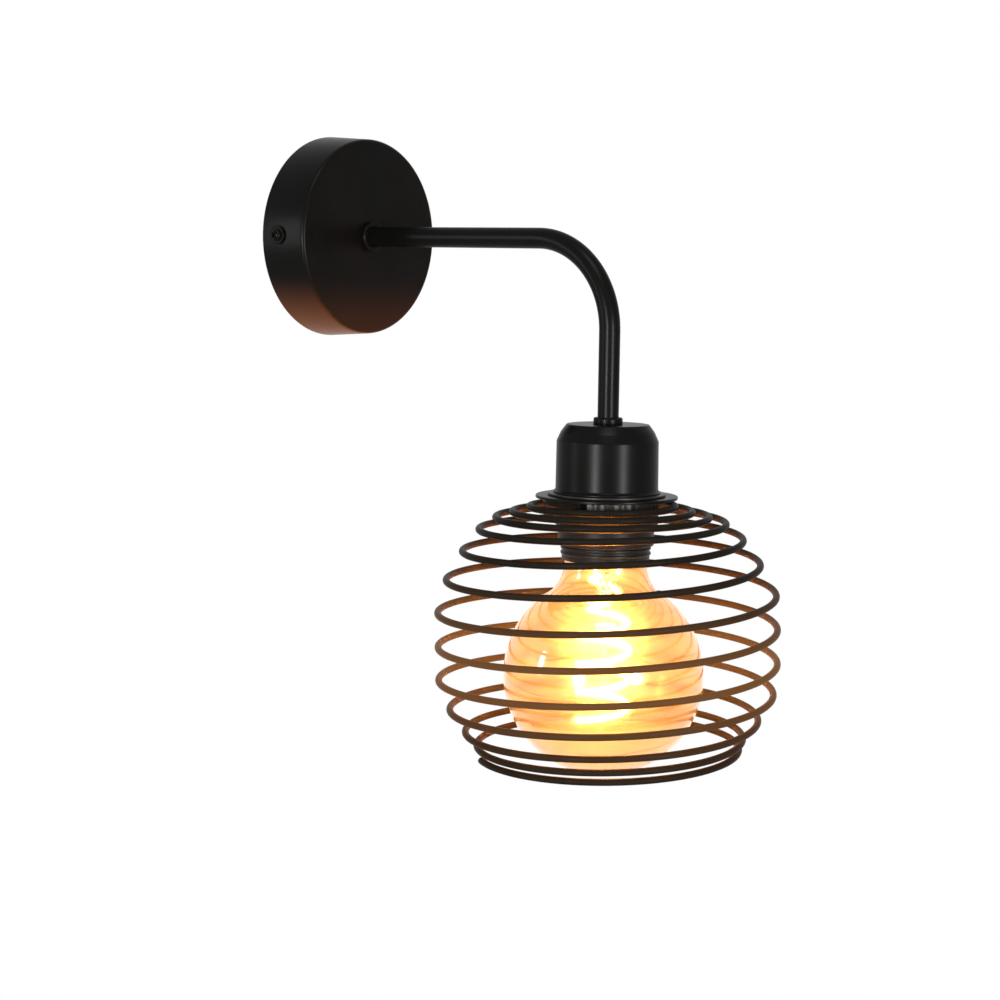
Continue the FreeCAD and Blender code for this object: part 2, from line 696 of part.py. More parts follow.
def bulb_cap():
    """Nickelled screw cap: rolled ridges over a thin wall, and a skirt that grips the glass."""
    wall = 0.4
    inner_r = cap_r - wall - 0.9
    profile = [(insulator_r, cap_top_z), (11.6, cap_top_z)]
    z = cap_top_z - 1.0
    while z - cap_pitch > cap_end_z + 2.0:
        profile += [(cap_r - 0.9, z), ((cap_r - 0.25, z - cap_pitch * 0.2), (cap_r, z - cap_pitch / 2)),
                    ((cap_r - 0.25, z - cap_pitch * 0.8), (cap_r - 0.9, z - cap_pitch))]
        z -= cap_pitch
    profile += [(cap_r, cap_end_z + 1.0), (cap_r, cap_end_z), (cap_r - wall, cap_end_z), (inner_r, cap_end_z + 2.4),
                (inner_r, cap_top_z - 0.8), (insulator_r, cap_top_z - 0.8)]
    return turned(profile)


def cap_insulator():
    """Black glass cone at the cap's top."""
    return turned([(3.2, -117.0), (5.4, -117.0), (insulator_r, cap_top_z), (insulator_r, cap_top_z - 0.8),
                   (11.0, cap_top_z - 0.8), (11.0, cap_top_z - 1.6), (3.2, cap_top_z - 1.6)])


def foot_contact():
    """Round foot contact of the bulb."""
    return turned([(0, -118.6), (2.9, -118.6), (2.9, -116.9), (4.6, -116.9), ((4.2, -116.35), (3.0, -116.2)),
                   (0, -116.2)])


stem_r = 3.0
stem_end_z = -175.0


def bulb_stem():
    """Glass stem: a flare sealed into the neck, a hollow stalk and a round end."""
    bore_r = 1.2
    flare_z = bulb_neck_z - 0.2
    dome_z = stem_end_z + stem_r
    diagonal = stem_r * math.sqrt(0.5)
    return turned([(bore_r, flare_z), (14.0, flare_z), ((9.0, flare_z - 2.0), (4.2, flare_z - 6.8)),
                   (stem_r, flare_z - 9.8), (stem_r, dome_z), ((diagonal, dome_z - diagonal), (0, stem_end_z)),
                   (0, dome_z - 0.6), (bore_r, dome_z - 0.6)])


filament_r = 1.25
filament_turns = 5.3
filament_top_z = -157.5
filament_end_z = -229.0
filament_neck_coil_r = 6.6
filament_coil_r = 12.0
filament_cap_length = 1.6
lead_r = 0.35


def filament_point(turn):
    """Centre line of the soft spiral filament: one narrow turn in the neck, then the wide ones."""
    share = max(0.0, min(1.0, (turn - 0.9) / 1.1))
    swell = share * share * (3 - 2 * share)
    r = filament_neck_coil_r + (filament_coil_r - filament_neck_coil_r) * swell
    angle = math.radians(200 - 360 * turn)
    z = filament_top_z + (filament_end_z - filament_top_z) * turn / filament_turns
    return V(r * math.cos(angle), r * math.sin(angle) - reach, z)


def filament_ends():
    step = 1e-4
    heads = []
    for turn, sign in ((0.0, -1), (filament_turns, 1)):
        tangent = (filament_point(turn + step) - filament_point(turn - step)).normalize() * sign
        heads.append((filament_point(turn) + tangent * (2 * filament_r), tangent))
    return heads


def led_filament():
    """Soft glowing spiral, one unbroken tube on quarter-turn biarcs."""
    count = int(round(4 * filament_turns))
    stops = [filament_turns * i / count for i in range(count + 1)]
    points = [filament_point(t) for t in stops]
    tangents = [(filament_point(t + 1e-4) - filament_point(t - 1e-4)).normalize() for t in stops]
    (head, _), (tail, _) = filament_ends()
    edges = [Part.makeLine(head, points[0])]
    for i in range(count):
        edges += biarc(points[i], tangents[i], points[i + 1], tangents[i + 1])
    edges.append(Part.makeLine(points[-1], tail))
    line = [p for e in edges for p in e.discretize(18)]
    least = min(p.distanceToPoint(q) for i, p in enumerate(line) for q in line[i + 80::3])
    print(f"filament: {filament_turns} turns, least gap to itself {least - 2 * filament_r:.2f} mm")
    return tube_on(edges, filament_r)


def filament_clamps():
    """Small metal caps on the filament's two ends."""
    caps = []
    for end, tangent in filament_ends():
        caps.append(rod(filament_r, filament_cap_length, end, tangent))
    return Part.makeCompound(caps)


def filament_leads():
    """Two stiff wires: one from the stem to the filament's head, one down its axis to the tail."""
    (head, head_t), (tail, tail_t) = filament_ends()
    head, tail = head + head_t * filament_cap_length, tail + tail_t * filament_cap_length
    out = V(head.x, head.y + reach, 0).normalize()
    beside = DROP + out * 4.6
    first = [DROP + out * (stem_r + 0.02) + V(0, 0, -163.0), beside + V(0, 0, -163.0),
             beside + V(0, 0, head.z - 1.0), head + head_t * 3.2, head]
    second = [DROP + V(0, 0, stem_end_z - 0.02), DROP + V(0, 0, tail.z - 3.0), tail + tail_t * 3.0 + V(0, 0, -3.0),
              tail + tail_t * 3.0, tail]
    wires = [tube_on(rounded_path(path, [0.5, 0.5, 0.5]), lead_r) for path in (first, second)]
    return Part.makeCompound(wires)


def driver_board():
    """Narrow circuit board that stands in the cap."""
    return block(15.0, 1.2, 17.0, DROP + V(-7.5, -0.6, -138.5))


def driver_parts():
    """Capacitor and rectifier on the board."""
    can = rod(3.0, 9.0, DROP + V(-2.5, -3.7, -135.5), Z)
    chip = block(4.5, 1.8, 4.0, DROP + V(1.5, 0.6, -130.0))
    return Part.makeCompound([can, chip])


# ---------------------------------------------------------------- write the pieces
save("wall_bracket", wall_bracket())
save("canopy", canopy())
save("canopy_side_screws", side_screws())
save("canopy_side_washers", side_washers())
save("terminal_block", terminal_block())
save("terminal_barrels", terminal_barrels())
save("terminal_screws", terminal_screws())
save("earth_screw", earth_screw())
save("live_wire", arm_wire(1))
save("neutral_wire", arm_wire(-1))
save("earth_wire", earth_wire())
save("arm_tube", arm_tube())
save("canopy_collar", canopy_collar())
save("arm_lock_washer", arm_washer())
save("arm_lock_nut", arm_nut())
save("cup_collar", cup_collar())
save("cup_lock_nut", cup_nut())
save("socket_cup", socket_cup())
save("holder_cap", holder_cap())
save("holder_sleeve", holder_sleeve())
save("holder_core", holder_core())
save("holder_rivets", holder_rivets())
save("wire_clamps", wire_clamps())
save("screw_shell", screw_shell())
save("contact_tongue", contact_tongue())
save("shade_ring", shade_ring())
cage, cage_head, cage_heading = cage_wire()
save("cage_spiral", cage)
save("cage_top_plate", cage_plate(cage_head, cage_heading))
save("bulb_glass", bulb_glass())
save("bulb_cap", bulb_cap())
save("bulb_cap_insulator", cap_insulator())
save("bulb_foot_contact", foot_contact())
save("bulb_stem", bulb_stem())
save("led_filament", led_filament())
save("filament_clamps", filament_clamps())
save("filament_leads", filament_leads())
save("driver_board", driver_board())
save("driver_parts", driver_parts())
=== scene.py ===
# %% [markdown]
# # A wall light with a wound wire cage
#
# This lesson dresses a wall light that is already built as solids. A round
# canopy sits on the wall, a bent tube carries a spun cup, and one long steel
# wire winds round a large amber globe. Each step says what the piece is on the
# real lamp, how it could be made, and why one way was chosen.

# %% Load the frame
import json
import math

import bmesh
import bpy
from mathutils import Matrix, Vector


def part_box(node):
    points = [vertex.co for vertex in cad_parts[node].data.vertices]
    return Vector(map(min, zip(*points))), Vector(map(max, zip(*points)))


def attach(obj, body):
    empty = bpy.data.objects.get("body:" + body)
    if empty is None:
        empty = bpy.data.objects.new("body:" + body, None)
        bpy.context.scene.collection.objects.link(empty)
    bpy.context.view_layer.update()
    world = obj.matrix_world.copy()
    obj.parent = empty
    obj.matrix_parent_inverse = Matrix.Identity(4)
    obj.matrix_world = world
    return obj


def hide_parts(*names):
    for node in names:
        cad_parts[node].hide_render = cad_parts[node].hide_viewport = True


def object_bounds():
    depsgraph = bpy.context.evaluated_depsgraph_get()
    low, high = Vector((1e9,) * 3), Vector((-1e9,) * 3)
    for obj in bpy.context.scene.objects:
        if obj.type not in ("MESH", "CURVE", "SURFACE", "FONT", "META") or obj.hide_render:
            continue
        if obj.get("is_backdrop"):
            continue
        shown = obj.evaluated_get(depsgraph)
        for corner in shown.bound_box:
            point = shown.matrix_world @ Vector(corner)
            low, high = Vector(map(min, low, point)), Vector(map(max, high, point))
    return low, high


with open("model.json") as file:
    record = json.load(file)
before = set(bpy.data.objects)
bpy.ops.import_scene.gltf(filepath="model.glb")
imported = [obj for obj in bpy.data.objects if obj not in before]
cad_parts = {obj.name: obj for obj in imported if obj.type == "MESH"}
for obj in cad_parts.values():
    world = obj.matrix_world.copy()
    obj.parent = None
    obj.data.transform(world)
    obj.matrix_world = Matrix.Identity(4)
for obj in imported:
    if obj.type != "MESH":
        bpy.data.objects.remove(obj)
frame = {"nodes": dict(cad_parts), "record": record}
cad_low, cad_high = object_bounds()

# %% [markdown]
# ## Sizes
#
# Every size starts from the frame, so a piece lands where its solid is. What a
# box can't tell, such as a corner's radius, is a named value here. Lengths are
# metres, and MM turns millimetres into them.

# %% Sizes read from the frame
MM = 0.001


def half_width(node):
    """Half of a node's width along X."""
    low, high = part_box(node)
    return (high.x - low.x) / 2


CANOPY_R = half_width("canopy")
CANOPY_DEPTH = -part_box("canopy")[0].y
CANOPY_DRAFT = 1.7 * MM
TUBE_R = half_width("arm_tube")
DROP_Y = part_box("arm_tube")[0].y + TUBE_R
TUBE_START_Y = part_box("arm_tube")[1].y
TUBE_END_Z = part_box("arm_tube")[0].z
CUP_LOW_Z, CUP_TOP_Z = (corner.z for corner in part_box("socket_cup"))
CUP_LIP_R = half_width("socket_cup")
BULB_R = half_width("bulb_glass")
BULB_LOW_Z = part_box("bulb_glass")[0].z
BULB_Z = BULB_LOW_Z + BULB_R
PLATE_LOW_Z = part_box("shade_ring")[1].z
PLATE_TOP_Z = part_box("cage_top_plate")[1].z
SLEEVE_END_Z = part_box("holder_sleeve")[0].z
RING_END_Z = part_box("shade_ring")[0].z
print(f"canopy radius {CANOPY_R / MM:.1f}, depth {CANOPY_DEPTH / MM:.1f} mm")
print(f"reach {-DROP_Y / MM:.1f} mm, globe radius {BULB_R / MM:.1f} mm")

# %% [markdown]
# ## Node maths as plain expressions
#
# Both shaders and geometry trees need sums. Wiring Math nodes by hand hides
# the formula, so one small class wraps a socket and lets Python's operators
# add the nodes. `1 - mask` then works as it reads.

# %% Sockets that can be added and multiplied
class Link:
    """An output socket; each operator adds one Math node to its tree."""

    def __init__(self, tree, socket):
        self.tree = tree
        self.socket = socket

    def out(self, name):
        return Link(self.tree, self.socket.node.outputs[name])

    def __add__(self, other):
        return self.tree.maths("ADD", self, other)

    def __radd__(self, other):
        return self.tree.maths("ADD", other, self)

    def __sub__(self, other):
        return self.tree.maths("SUBTRACT", self, other)

    def __rsub__(self, other):
        return self.tree.maths("SUBTRACT", other, self)

    def __mul__(self, other):
        return self.tree.maths("MULTIPLY", self, other)

    def __rmul__(self, other):
        return self.tree.maths("MULTIPLY", other, self)

    def __truediv__(self, other):
        return self.tree.maths("DIVIDE", self, other)

    def __pow__(self, other):
        return self.tree.maths("POWER", self, other)


class Tree:
    """A node tree that is filled by calls, each of which returns a Link."""

    def __init__(self, tree):
        self.tree = tree

    def add(self, kind, settings=None, values=None, out=0):
        """Add a node: its settings first, then the values or links of its sockets."""
        node = self.tree.nodes.new(kind)
        for name, value in (settings or {}).items():
            if name == "stops":
                self.set_stops(node.color_ramp, value)
            else:
                setattr(node, name, value)
        for name, value in (values or {}).items():
            if isinstance(value, Link):
                self.tree.links.new(value.socket, node.inputs[name])
            else:
                node.inputs[name].default_value = value
        return Link(self, node.outputs[out]) if len(node.outputs) else node

    @staticmethod
    def set_stops(ramp, stops):
        while len(ramp.elements) < len(stops):
            ramp.elements.new(0.5)
        for element, (place, colour) in zip(ramp.elements, stops):
            element.position = place
            element.color = (*colour, 1.0)

    def maths(self, operation, *values):
        return self.add("ShaderNodeMath", {"operation": operation}, dict(enumerate(values)))

    def clamp(self, value):
        return self.add("ShaderNodeClamp", {}, {"Value": value})

    def smooth_step(self, value):
        """0 to 1 with no kink at either end."""
        share = self.clamp(value)
        return share * share * (3 - 2 * share)

    def mix(self, factor, first, second):
        """A blend of two colours, which a Math node would turn grey."""
        colour_a, colour_b, result = 6, 7, 2
        first, second = ((*c, 1.0) if isinstance(c, tuple) else c for c in (first, second))
        values = {0: factor, colour_a: first, colour_b: second}
        return self.add("ShaderNodeMix", {"data_type": "RGBA"}, values, result)

    def vector(self, x, y, z):
        return self.add("ShaderNodeCombineXYZ", {}, {"X": x, "Y": y, "Z": z})


# %% [markdown]
# ## Materials
#
# A finish is more than a colour: powder coat has a faint orange-peel skin,
# zinc shows cloudy crystals, moulded plastic is almost plain. Patterns read
# Object coordinates in metres, so a noise scale of 1000 gives grains of about
# a millimetre on every piece alike.

# %% Start a material, and patterns that many finishes share
WHITE = (1.0, 1.0, 1.0)
BLACK = (0.0, 0.0, 0.0)


def surface(name, **constants):
    """A new material, its tree, and its Principled shader with plain values set."""
    made = bpy.data.materials.new(name)
    made.use_nodes = True
    tree = Tree(made.node_tree)
    shader = made.node_tree.nodes["Principled BSDF"]
    for socket, value in constants.items():
        wanted = socket.replace("_", " ").title().replace("Ior", "IOR")
        shader.inputs[wanted].default_value = (*value, 1.0) if isinstance(value, tuple) else value
    return made, tree, shader


def connect(tree, shader, **links):
    """Feed sockets whose value changes over the surface."""
    for socket, link in links.items():
        tree.tree.links.new(link.socket, shader.inputs[socket.replace("_", " ").title()])


def noise(tree, scale, detail, squeeze=(1.0, 1.0, 1.0)):
    """Noise on Object coordinates; a squeeze over 1 packs it closer along that axis."""
    place = tree.add("ShaderNodeTexCoord", out="Object")
    place = tree.add("ShaderNodeMapping", {}, {"Vector": place, "Scale": squeeze})
    return tree.add("ShaderNodeTexNoise", {}, {"Vector": place, "Scale": scale, "Detail": detail})


def bump(tree, height, depth, strength=1.0):
    """Small relief: depth is how high a full step of the pattern stands, in metres."""
    values = {"Height": height, "Distance": depth, "Strength": strength}
    return tree.add("ShaderNodeBump", {}, values)


# %% Powder coat, moulded black, and the metals
def powder_coat(name, dark, pale, roughness, gloss=0.035):
    """Satin black paint: fine orange peel and a cloudy sheen."""
    made, tree, shader = surface(name, specular_ior_level=gloss)
    cloud = noise(tree, 55.0, 3.0)
    peel = noise(tree, 1500.0, 1.0)
    connect(tree, shader,
            base_color=tree.mix(cloud, dark, pale),
            roughness=roughness + 0.06 * cloud + 0.05 * peel,
            normal=bump(tree, peel, 0.03 * MM, 0.5))
    return made


def moulded(name, colour, roughness, relief=0.02 * MM, gloss=0.5):
    """Moulded plastic: nearly even, with flow clouds and a fine skin."""
    made, tree, shader = surface(name, specular_ior_level=gloss)
    flow = noise(tree, 120.0, 2.0)
    skin = noise(tree, 2500.0, 1.0)
    deeper = tuple(0.8 * c for c in colour)
    connect(tree, shader, base_color=tree.mix(flow, deeper, colour),
            roughness=roughness + 0.08 * flow, normal=bump(tree, skin, relief, 0.4))
    return made


def plated(name, colour, roughness):
    """Bare or plated metal: a fine grain, darker in its dips, under a cloudy sheen."""
    made, tree, shader = surface(name, metallic=1.0)
    grain = noise(tree, 400.0, 4.0)
    cloud = noise(tree, 90.0, 2.0)
    deeper = tuple(0.72 * c for c in colour)
    connect(tree, shader,
            base_color=tree.mix(grain, deeper, colour),
            roughness=roughness + 0.15 * cloud + 0.1 * grain,
            normal=bump(tree, grain, 0.015 * MM, 0.4))
    return made


STEEL_BLACKS = ((0.0010, 0.0010, 0.0009), (0.0022, 0.0021, 0.0020))
MATERIALS = {
    "black_steel": powder_coat("black_powder_coat", *STEEL_BLACKS, 0.26),
    "black_socket": moulded("black_moulded", (0.006, 0.005, 0.004), 0.34, gloss=0.12),
    "zinc_steel": plated("zinc_plate", (0.70, 0.71, 0.72), 0.25),
    "brass": plated("brass", (0.80, 0.58, 0.27), 0.22),
    "nickel": plated("nickel_plate", (0.74, 0.70, 0.64), 0.16),
    "white_nylon": moulded("white_nylon", (0.80, 0.79, 0.74), 0.45),
    "porcelain": moulded("porcelain", (0.84, 0.82, 0.77), 0.12, 0.01 * MM),
    "brown_pvc": moulded("brown_pvc", (0.16, 0.07, 0.03), 0.35),
    "blue_pvc": moulded("blue_pvc", (0.03, 0.10, 0.42), 0.35),
    "black_glass": moulded("black_glass", (0.015, 0.015, 0.020), 0.10),
}
print("materials so far:", len(MATERIALS))

# %% [markdown]
# ## Warm light on black paint
#
# A lit globe throws orange light on whatever stands near it, yet black paint
# gives back too little of it to show in a render. So two finishes carry that
# light as a painted glow, each by a rule of place: the wire is painted warmest
# beside the globe, and the canopy along the low part of its rim.

# %% Two black finishes with a painted glow for the globe's light
def add_painted_glow(material, rule, painted_glow_colour):
    """Add painted light, a glow of one colour; rule(tree, x, y, z) says how much of it a place
    gets, 0 to 1.
    """
    tree = Tree(material.node_tree)
    place = tree.add("ShaderNodeTexCoord", out="Object")
    parts = tree.add("ShaderNodeSeparateXYZ", {}, {"Vector": place})
    share = rule(tree, parts.out("X"), parts.out("Y"), parts.out("Z"))
    shader = material.node_tree.nodes["Principled BSDF"]
    connect(tree, shader, emission_color=tree.mix(share, BLACK, painted_glow_colour))
    shader.inputs["Emission Strength"].default_value = 1.0
    return material


SPILL_Z = BULB_Z + 6 * MM
SPILL_REACH = 27 * MM


def painted_glow_beside_globe(tree, x, y, z):
    """Painted glow for the globe's light: a soft hump with height, its top a little over the
    globe's middle.
    """
    away = (z - SPILL_Z) / SPILL_REACH
    return tree.maths("EXPONENT", away * away * -1.0)


RIM_TAPER = CANOPY_DRAFT / CANOPY_DEPTH
GLOW_TOP_Z = -19 * MM
GLOW_FULL_Z = -52 * MM
FACE_SHARE = 0.22
SKIN_BLEND = (0.3 * MM, 0.9 * MM)
FACE_BLEND = (0.1 * MM, 0.7 * MM)


def painted_glow_under_canopy(tree, x, y, z):
    """Painted glow for the globe's light: more lower down on the rim's outside, faint on the front
    face, none inside.
    """
    low = (GLOW_TOP_Z - z) / (GLOW_TOP_Z - GLOW_FULL_Z)
    skin_r = CANOPY_R + y * RIM_TAPER
    depth_in = skin_r - tree.maths("SQRT", x * x + z * z)
    outside = 1 - tree.smooth_step((depth_in - SKIN_BLEND[0]) / (SKIN_BLEND[1] - SKIN_BLEND[0]))
    behind_face = y + CANOPY_DEPTH
    face = 1 - tree.smooth_step((behind_face - FACE_BLEND[0]) / (FACE_BLEND[1] - FACE_BLEND[0]))
    caught = tree.maths("MAXIMUM", outside * (1 - face), face * FACE_SHARE)
    return tree.smooth_step(low) * caught


WIRE_BLACKS = ((0.003, 0.0024, 0.0018), (0.007, 0.0055, 0.004))
# Painted light: the wire glows orange beside the globe, in place of the globe's light on it.
WIRE_COAT_AND_PAINTED_GLOW = add_painted_glow(powder_coat("wire_powder_coat_painted_glow", *WIRE_BLACKS, 0.30, 0.01),
                   painted_glow_beside_globe, (0.150, 0.060, 0.016))
# Painted light: the canopy's low rim glows orange, in place of the globe's light on it.
CANOPY_COAT_AND_PAINTED_GLOW = add_painted_glow(powder_coat("canopy_powder_coat_painted_glow", *STEEL_BLACKS, 0.26),
                     painted_glow_under_canopy, (0.165, 0.046, 0.010))
print("wire and canopy finishes made")

# %% [markdown]
# ## Striped wire and the circuit board
#
# An earth wire wears a green skin with a yellow stripe, and a small driver
# board has a green lacquer over copper tracks. Both are hidden in use, but a
# repairer who opens the lamp expects them, so they get their own patterns.

# %% Earth wire and circuit board
STRIPE_PITCH = 4 * MM


def striped_wire():
    made, tree, shader = surface("earth_wire_skin", roughness=0.35)
    place = tree.add("ShaderNodeTexCoord", out="Object")
    parts = tree.add("ShaderNodeSeparateXYZ", {}, {"Vector": place})
    wave = tree.maths("SINE", (parts.out("X") + parts.out("Z")) * (math.tau / STRIPE_PITCH))
    stripe = tree.clamp(wave * 8.0 + 0.5)
    connect(tree, shader, base_color=tree.mix(stripe, (0.10, 0.33, 0.05), (0.72, 0.60, 0.04)))
    return made


def circuit_board():
    made, tree, shader = surface("circuit_board_lacquer", roughness=0.30)
    place = tree.add("ShaderNodeTexCoord", out="Object")
    brick = {"Vector": place, "Scale": 300.0, "Mortar Size": 0.06}
    tracks = tree.add("ShaderNodeTexBrick", {}, brick, "Fac")
    connect(tree, shader, base_color=tree.mix(tracks, (0.02, 0.16, 0.07), (0.10, 0.32, 0.12)),
            normal=bump(tree, tracks, 0.03 * MM))
    return made


MATERIALS["green_pvc"] = striped_wire()
MATERIALS["circuit_board"] = circuit_board()
print("materials so far:", len(MATERIALS))

# %% [markdown]
# ## Glass and light
#
# The globe is blown amber glass: clear enough to see the filament, warm where
# the wall is looked at edge on, and not quite smooth. Real glass stops the
# direct rays of a lamp inside it in a path tracer, so a Light Path switch lets
# shadow rays through, and the filament can light the cage round it.
#
# The filament is a soft strip coated with phosphor. It is far brighter than
# anything round it, so it clips to white and colours what it lights.

# %% Glass and the glowing filament
AMBER = (0.985, 0.705, 0.370)
CAGE_REFLECTION_COLOUR = (0.88, 0.48, 0.20)
GLOW = (1.0, 0.56, 0.20)
PALE_GLOW = (1.0, 0.66, 0.30)
REFLECTION_LINE_SHARPNESS = 40.0


def blown_glass(name, colour, roughness, ripple, painted_reflection=None):
    """Blown glass: soft ripples and, where asked, a painted reflection of the cage as fine dark
    lines.
    """
    made, tree, shader = surface(
        name, base_color=colour, roughness=roughness, ior=1.45, transmission_weight=1.0,
        coat_weight=0.6, coat_roughness=0.02)
    swirl = noise(tree, 38.0, 2.0, (1.0, 1.0, 4.0))
    connect(tree, shader, normal=bump(tree, swirl, ripple))
    # Painted reflection: thin wavy lines in a darker amber stand for the cage mirrored in the
    # glass.
    if painted_reflection:
        place = tree.add("ShaderNodeTexCoord", out="Object")
        bands = tree.add("ShaderNodeTexWave", {"bands_direction": "Z"}, {
            "Vector": place, "Scale": 34.0, "Distortion": 7.0, "Detail": 1.0, "Detail Scale": 0.6})
        thin = bands.out("Fac") ** REFLECTION_LINE_SHARPNESS * tree.smooth_step((swirl - 0.40) * 5.0)
        connect(tree, shader, base_color=tree.mix(thin, colour, painted_reflection))
    clear = tree.add("ShaderNodeBsdfTransparent", {}, {"Color": (*colour, 1.0)})
    shadow_ray = tree.add("ShaderNodeLightPath", out="Is Shadow Ray")
    output = made.node_tree.nodes["Material Output"]
    glass = Link(tree, shader.outputs[0])
    both = tree.add("ShaderNodeMixShader", {}, {0: shadow_ray, 1: glass, 2: clear})
    made.node_tree.links.new(both.socket, output.inputs["Surface"])
    return made


def phosphor(name, strength):
    """A coating that glows, a little uneven in colour."""
    made, tree, shader = surface(
        name, base_color=(0.9, 0.62, 0.25), roughness=0.6, emission_strength=strength)
    grain = noise(tree, 900.0, 2.0)
    connect(tree, shader, emission_color=tree.mix(grain, GLOW, PALE_GLOW))
    return made


MATERIALS["amber_glass"] = blown_glass("amber_glass", AMBER, 0.15, 0.08 * MM, CAGE_REFLECTION_COLOUR)
MATERIALS["clear_glass"] = blown_glass("clear_glass", (0.97, 0.95, 0.90), 0.02, 0.02 * MM)
MATERIALS["filament"] = phosphor("filament_phosphor", 330.0)
print("materials:", len(MATERIALS))

# %% Give every node the finish of its material slot
for part in frame["record"]["subparts"]:
    node = frame["nodes"][part["node"]]
    node.data.materials.clear()
    node.data.materials.append(MATERIALS[part["material_slot"]])

# %% [markdown]
# ## Turned pieces
#
# Most of this lamp is turned or spun: canopy, cup, nuts, ring, bulb. A turned
# piece is a closed outline swept round an axis. Its corners are rounded in the
# outline itself, since a real edge always catches a thin line of light, and a
# modifier would round all corners alike.

# %% Outlines with rounded corners, and the lathe
def rounded(corners, steps=6):
    """The closed outline of corners (r, z, radius), each corner an arc of its radius."""
    outline = []
    for i, (r, z, radius) in enumerate(corners):
        here = Vector((r, z))
        back = (Vector(corners[i - 1][:2]) - here).normalized()
        on = (Vector(corners[(i + 1) % len(corners)][:2]) - here).normalized()
        half = back.angle(on) / 2
        if radius <= 0 or half > math.radians(89.5):
            outline.append(here)
            continue
        middle = here + (back + on).normalized() * (radius / math.sin(half))
        start = here + back * (radius / math.tan(half)) - middle
        end = here + on * (radius / math.tan(half)) - middle
        sweep = math.pi - 2 * half
        for k in range(steps + 1):
            share = k / steps
            along = start * math.sin((1 - share) * sweep) + end * math.sin(share * sweep)
            outline.append(middle + along / math.sin(sweep))
    return outline


SHARP_EDGE = math.radians(40.0)


def tidy(name, mesh, material):
    """Make an object of a bmesh: merged, faces outwards, smooth except at sharp edges."""
    bmesh.ops.remove_doubles(mesh, verts=mesh.verts, dist=0.001 * MM)
    bmesh.ops.recalc_face_normals(mesh, faces=mesh.faces)
    for face in mesh.faces:
        face.smooth = True
    for edge in mesh.edges:
        edge.smooth = len(edge.link_faces) == 2 and edge.calc_face_angle() < SHARP_EDGE
    data = bpy.data.meshes.new(name)
    mesh.to_mesh(data)
    mesh.free()
    data.materials.clear()
    data.materials.append(material)
    made = bpy.data.objects.new(name, data)
    bpy.context.scene.collection.objects.link(made)
    return made


def lathe(name, outline, material, place, steps):
    """Turn a closed outline of (r, z) points round the Z axis, then put it in place."""
    mesh = bmesh.new()
    rings = []
    for r, z in outline:
        count = steps if r > 0.01 * MM else 1
        angles = [math.tau * i / count for i in range(count)]
        reach = r if count > 1 else 0
        points = [(reach * math.cos(a), reach * math.sin(a), z) for a in angles]
        rings.append([mesh.verts.new(point) for point in points])
    for first, second in zip(rings, rings[1:] + rings[:1]):
        for i in range(max(len(first), len(second))):
            j = i + 1
            corners = [first[i % len(first)], first[j % len(first)],
                       second[j % len(second)], second[i % len(second)]]
            distinct = list(dict.fromkeys(corners))
            if len(distinct) > 2:
                mesh.faces.new(distinct)
    mesh.transform(place)
    return tidy(name, mesh, material)


def in_mm(corners):
    return [tuple(v * MM for v in corner) for corner in corners]


AT_DROP = Matrix.Translation((0, DROP_Y, 0))
TO_ROOM = Matrix.Rotation(math.radians(90), 4, "X")


def dress(piece, body, slot, *nodes):
    """Let a finished piece ride on its body and stand for its nodes."""
    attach(piece, body)
    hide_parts(*nodes)
    print(f"{piece.name}: {len(piece.data.polygons)} faces on {body}")
    return piece


# %% [markdown]
# ## Canopy and its collar
#
# The canopy is a deep-drawn steel cup, slightly wider at the wall so that it
# leaves its die. Its front edge has a soft radius, which shows as a bright
# double line where the light runs round it.

# %% Canopy and collar
CANOPY_FRONT_R = CANOPY_R - CANOPY_DRAFT
SHEET = 1.0 * MM
FRONT_EDGE_R = 2.2 * MM
TUBE_HOLE_R = TUBE_R + 0.1 * MM

canopy = lathe("canopy_shell", rounded([
    (CANOPY_R, 0, 0.3 * MM),
    (CANOPY_FRONT_R, CANOPY_DEPTH, FRONT_EDGE_R),
    (TUBE_HOLE_R, CANOPY_DEPTH, 0.1 * MM),
    (TUBE_HOLE_R, CANOPY_DEPTH - SHEET, 0.1 * MM),
    (CANOPY_FRONT_R - SHEET, CANOPY_DEPTH - SHEET, FRONT_EDGE_R - SHEET),
    (CANOPY_R - SHEET, 0, 0.3 * MM)], 10), CANOPY_COAT_AND_PAINTED_GLOW, TO_ROOM, steps=224)
dress(canopy, "root", "black_steel", "canopy")


def collar(name, node, at, material):
    """A round nut on the tube; its outer edge is softly turned."""
    r = half_width(node)
    low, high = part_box(node)
    thickness = high.y - low.y if at is TO_ROOM else high.z - low.z
    start = CANOPY_DEPTH if at is TO_ROOM else low.z
    bore = TUBE_R + 0.04 * MM
    return lathe(name, rounded([
        (bore, start, 0), (r, start, 0.15 * MM), (r, start + thickness, 0.9 * MM),
        (bore, start + thickness, 0.4 * MM)]), material, at, steps=96)


canopy_nut = collar("canopy_collar_nut", "canopy_collar", TO_ROOM, MATERIALS["black_steel"])
dress(canopy_nut, "root", "black_steel", "canopy_collar")
cup_nut = collar("cup_collar_nut", "cup_collar", AT_DROP, MATERIALS["black_steel"])
dress(cup_nut, "root", "black_steel", "cup_collar")

# %% [markdown]
# ## Growing shapes with Geometry Nodes
#
# A tree gets named inputs for its sizes, then builds the shape from them. The
# helper below makes the tree, hangs it on an empty mesh, reads the evaluated
# result back as a plain mesh and removes the modifier, so that what is left is
# an ordinary piece that any program can read.

# %% Run a tree and keep its mesh
def evaluated_mesh(holder):
    """A plain copy of an object's mesh with its modifiers worked out."""
    bpy.context.view_layer.update()
    graph = bpy.context.evaluated_depsgraph_get()
    return bpy.data.meshes.new_from_object(holder.evaluated_get(graph))


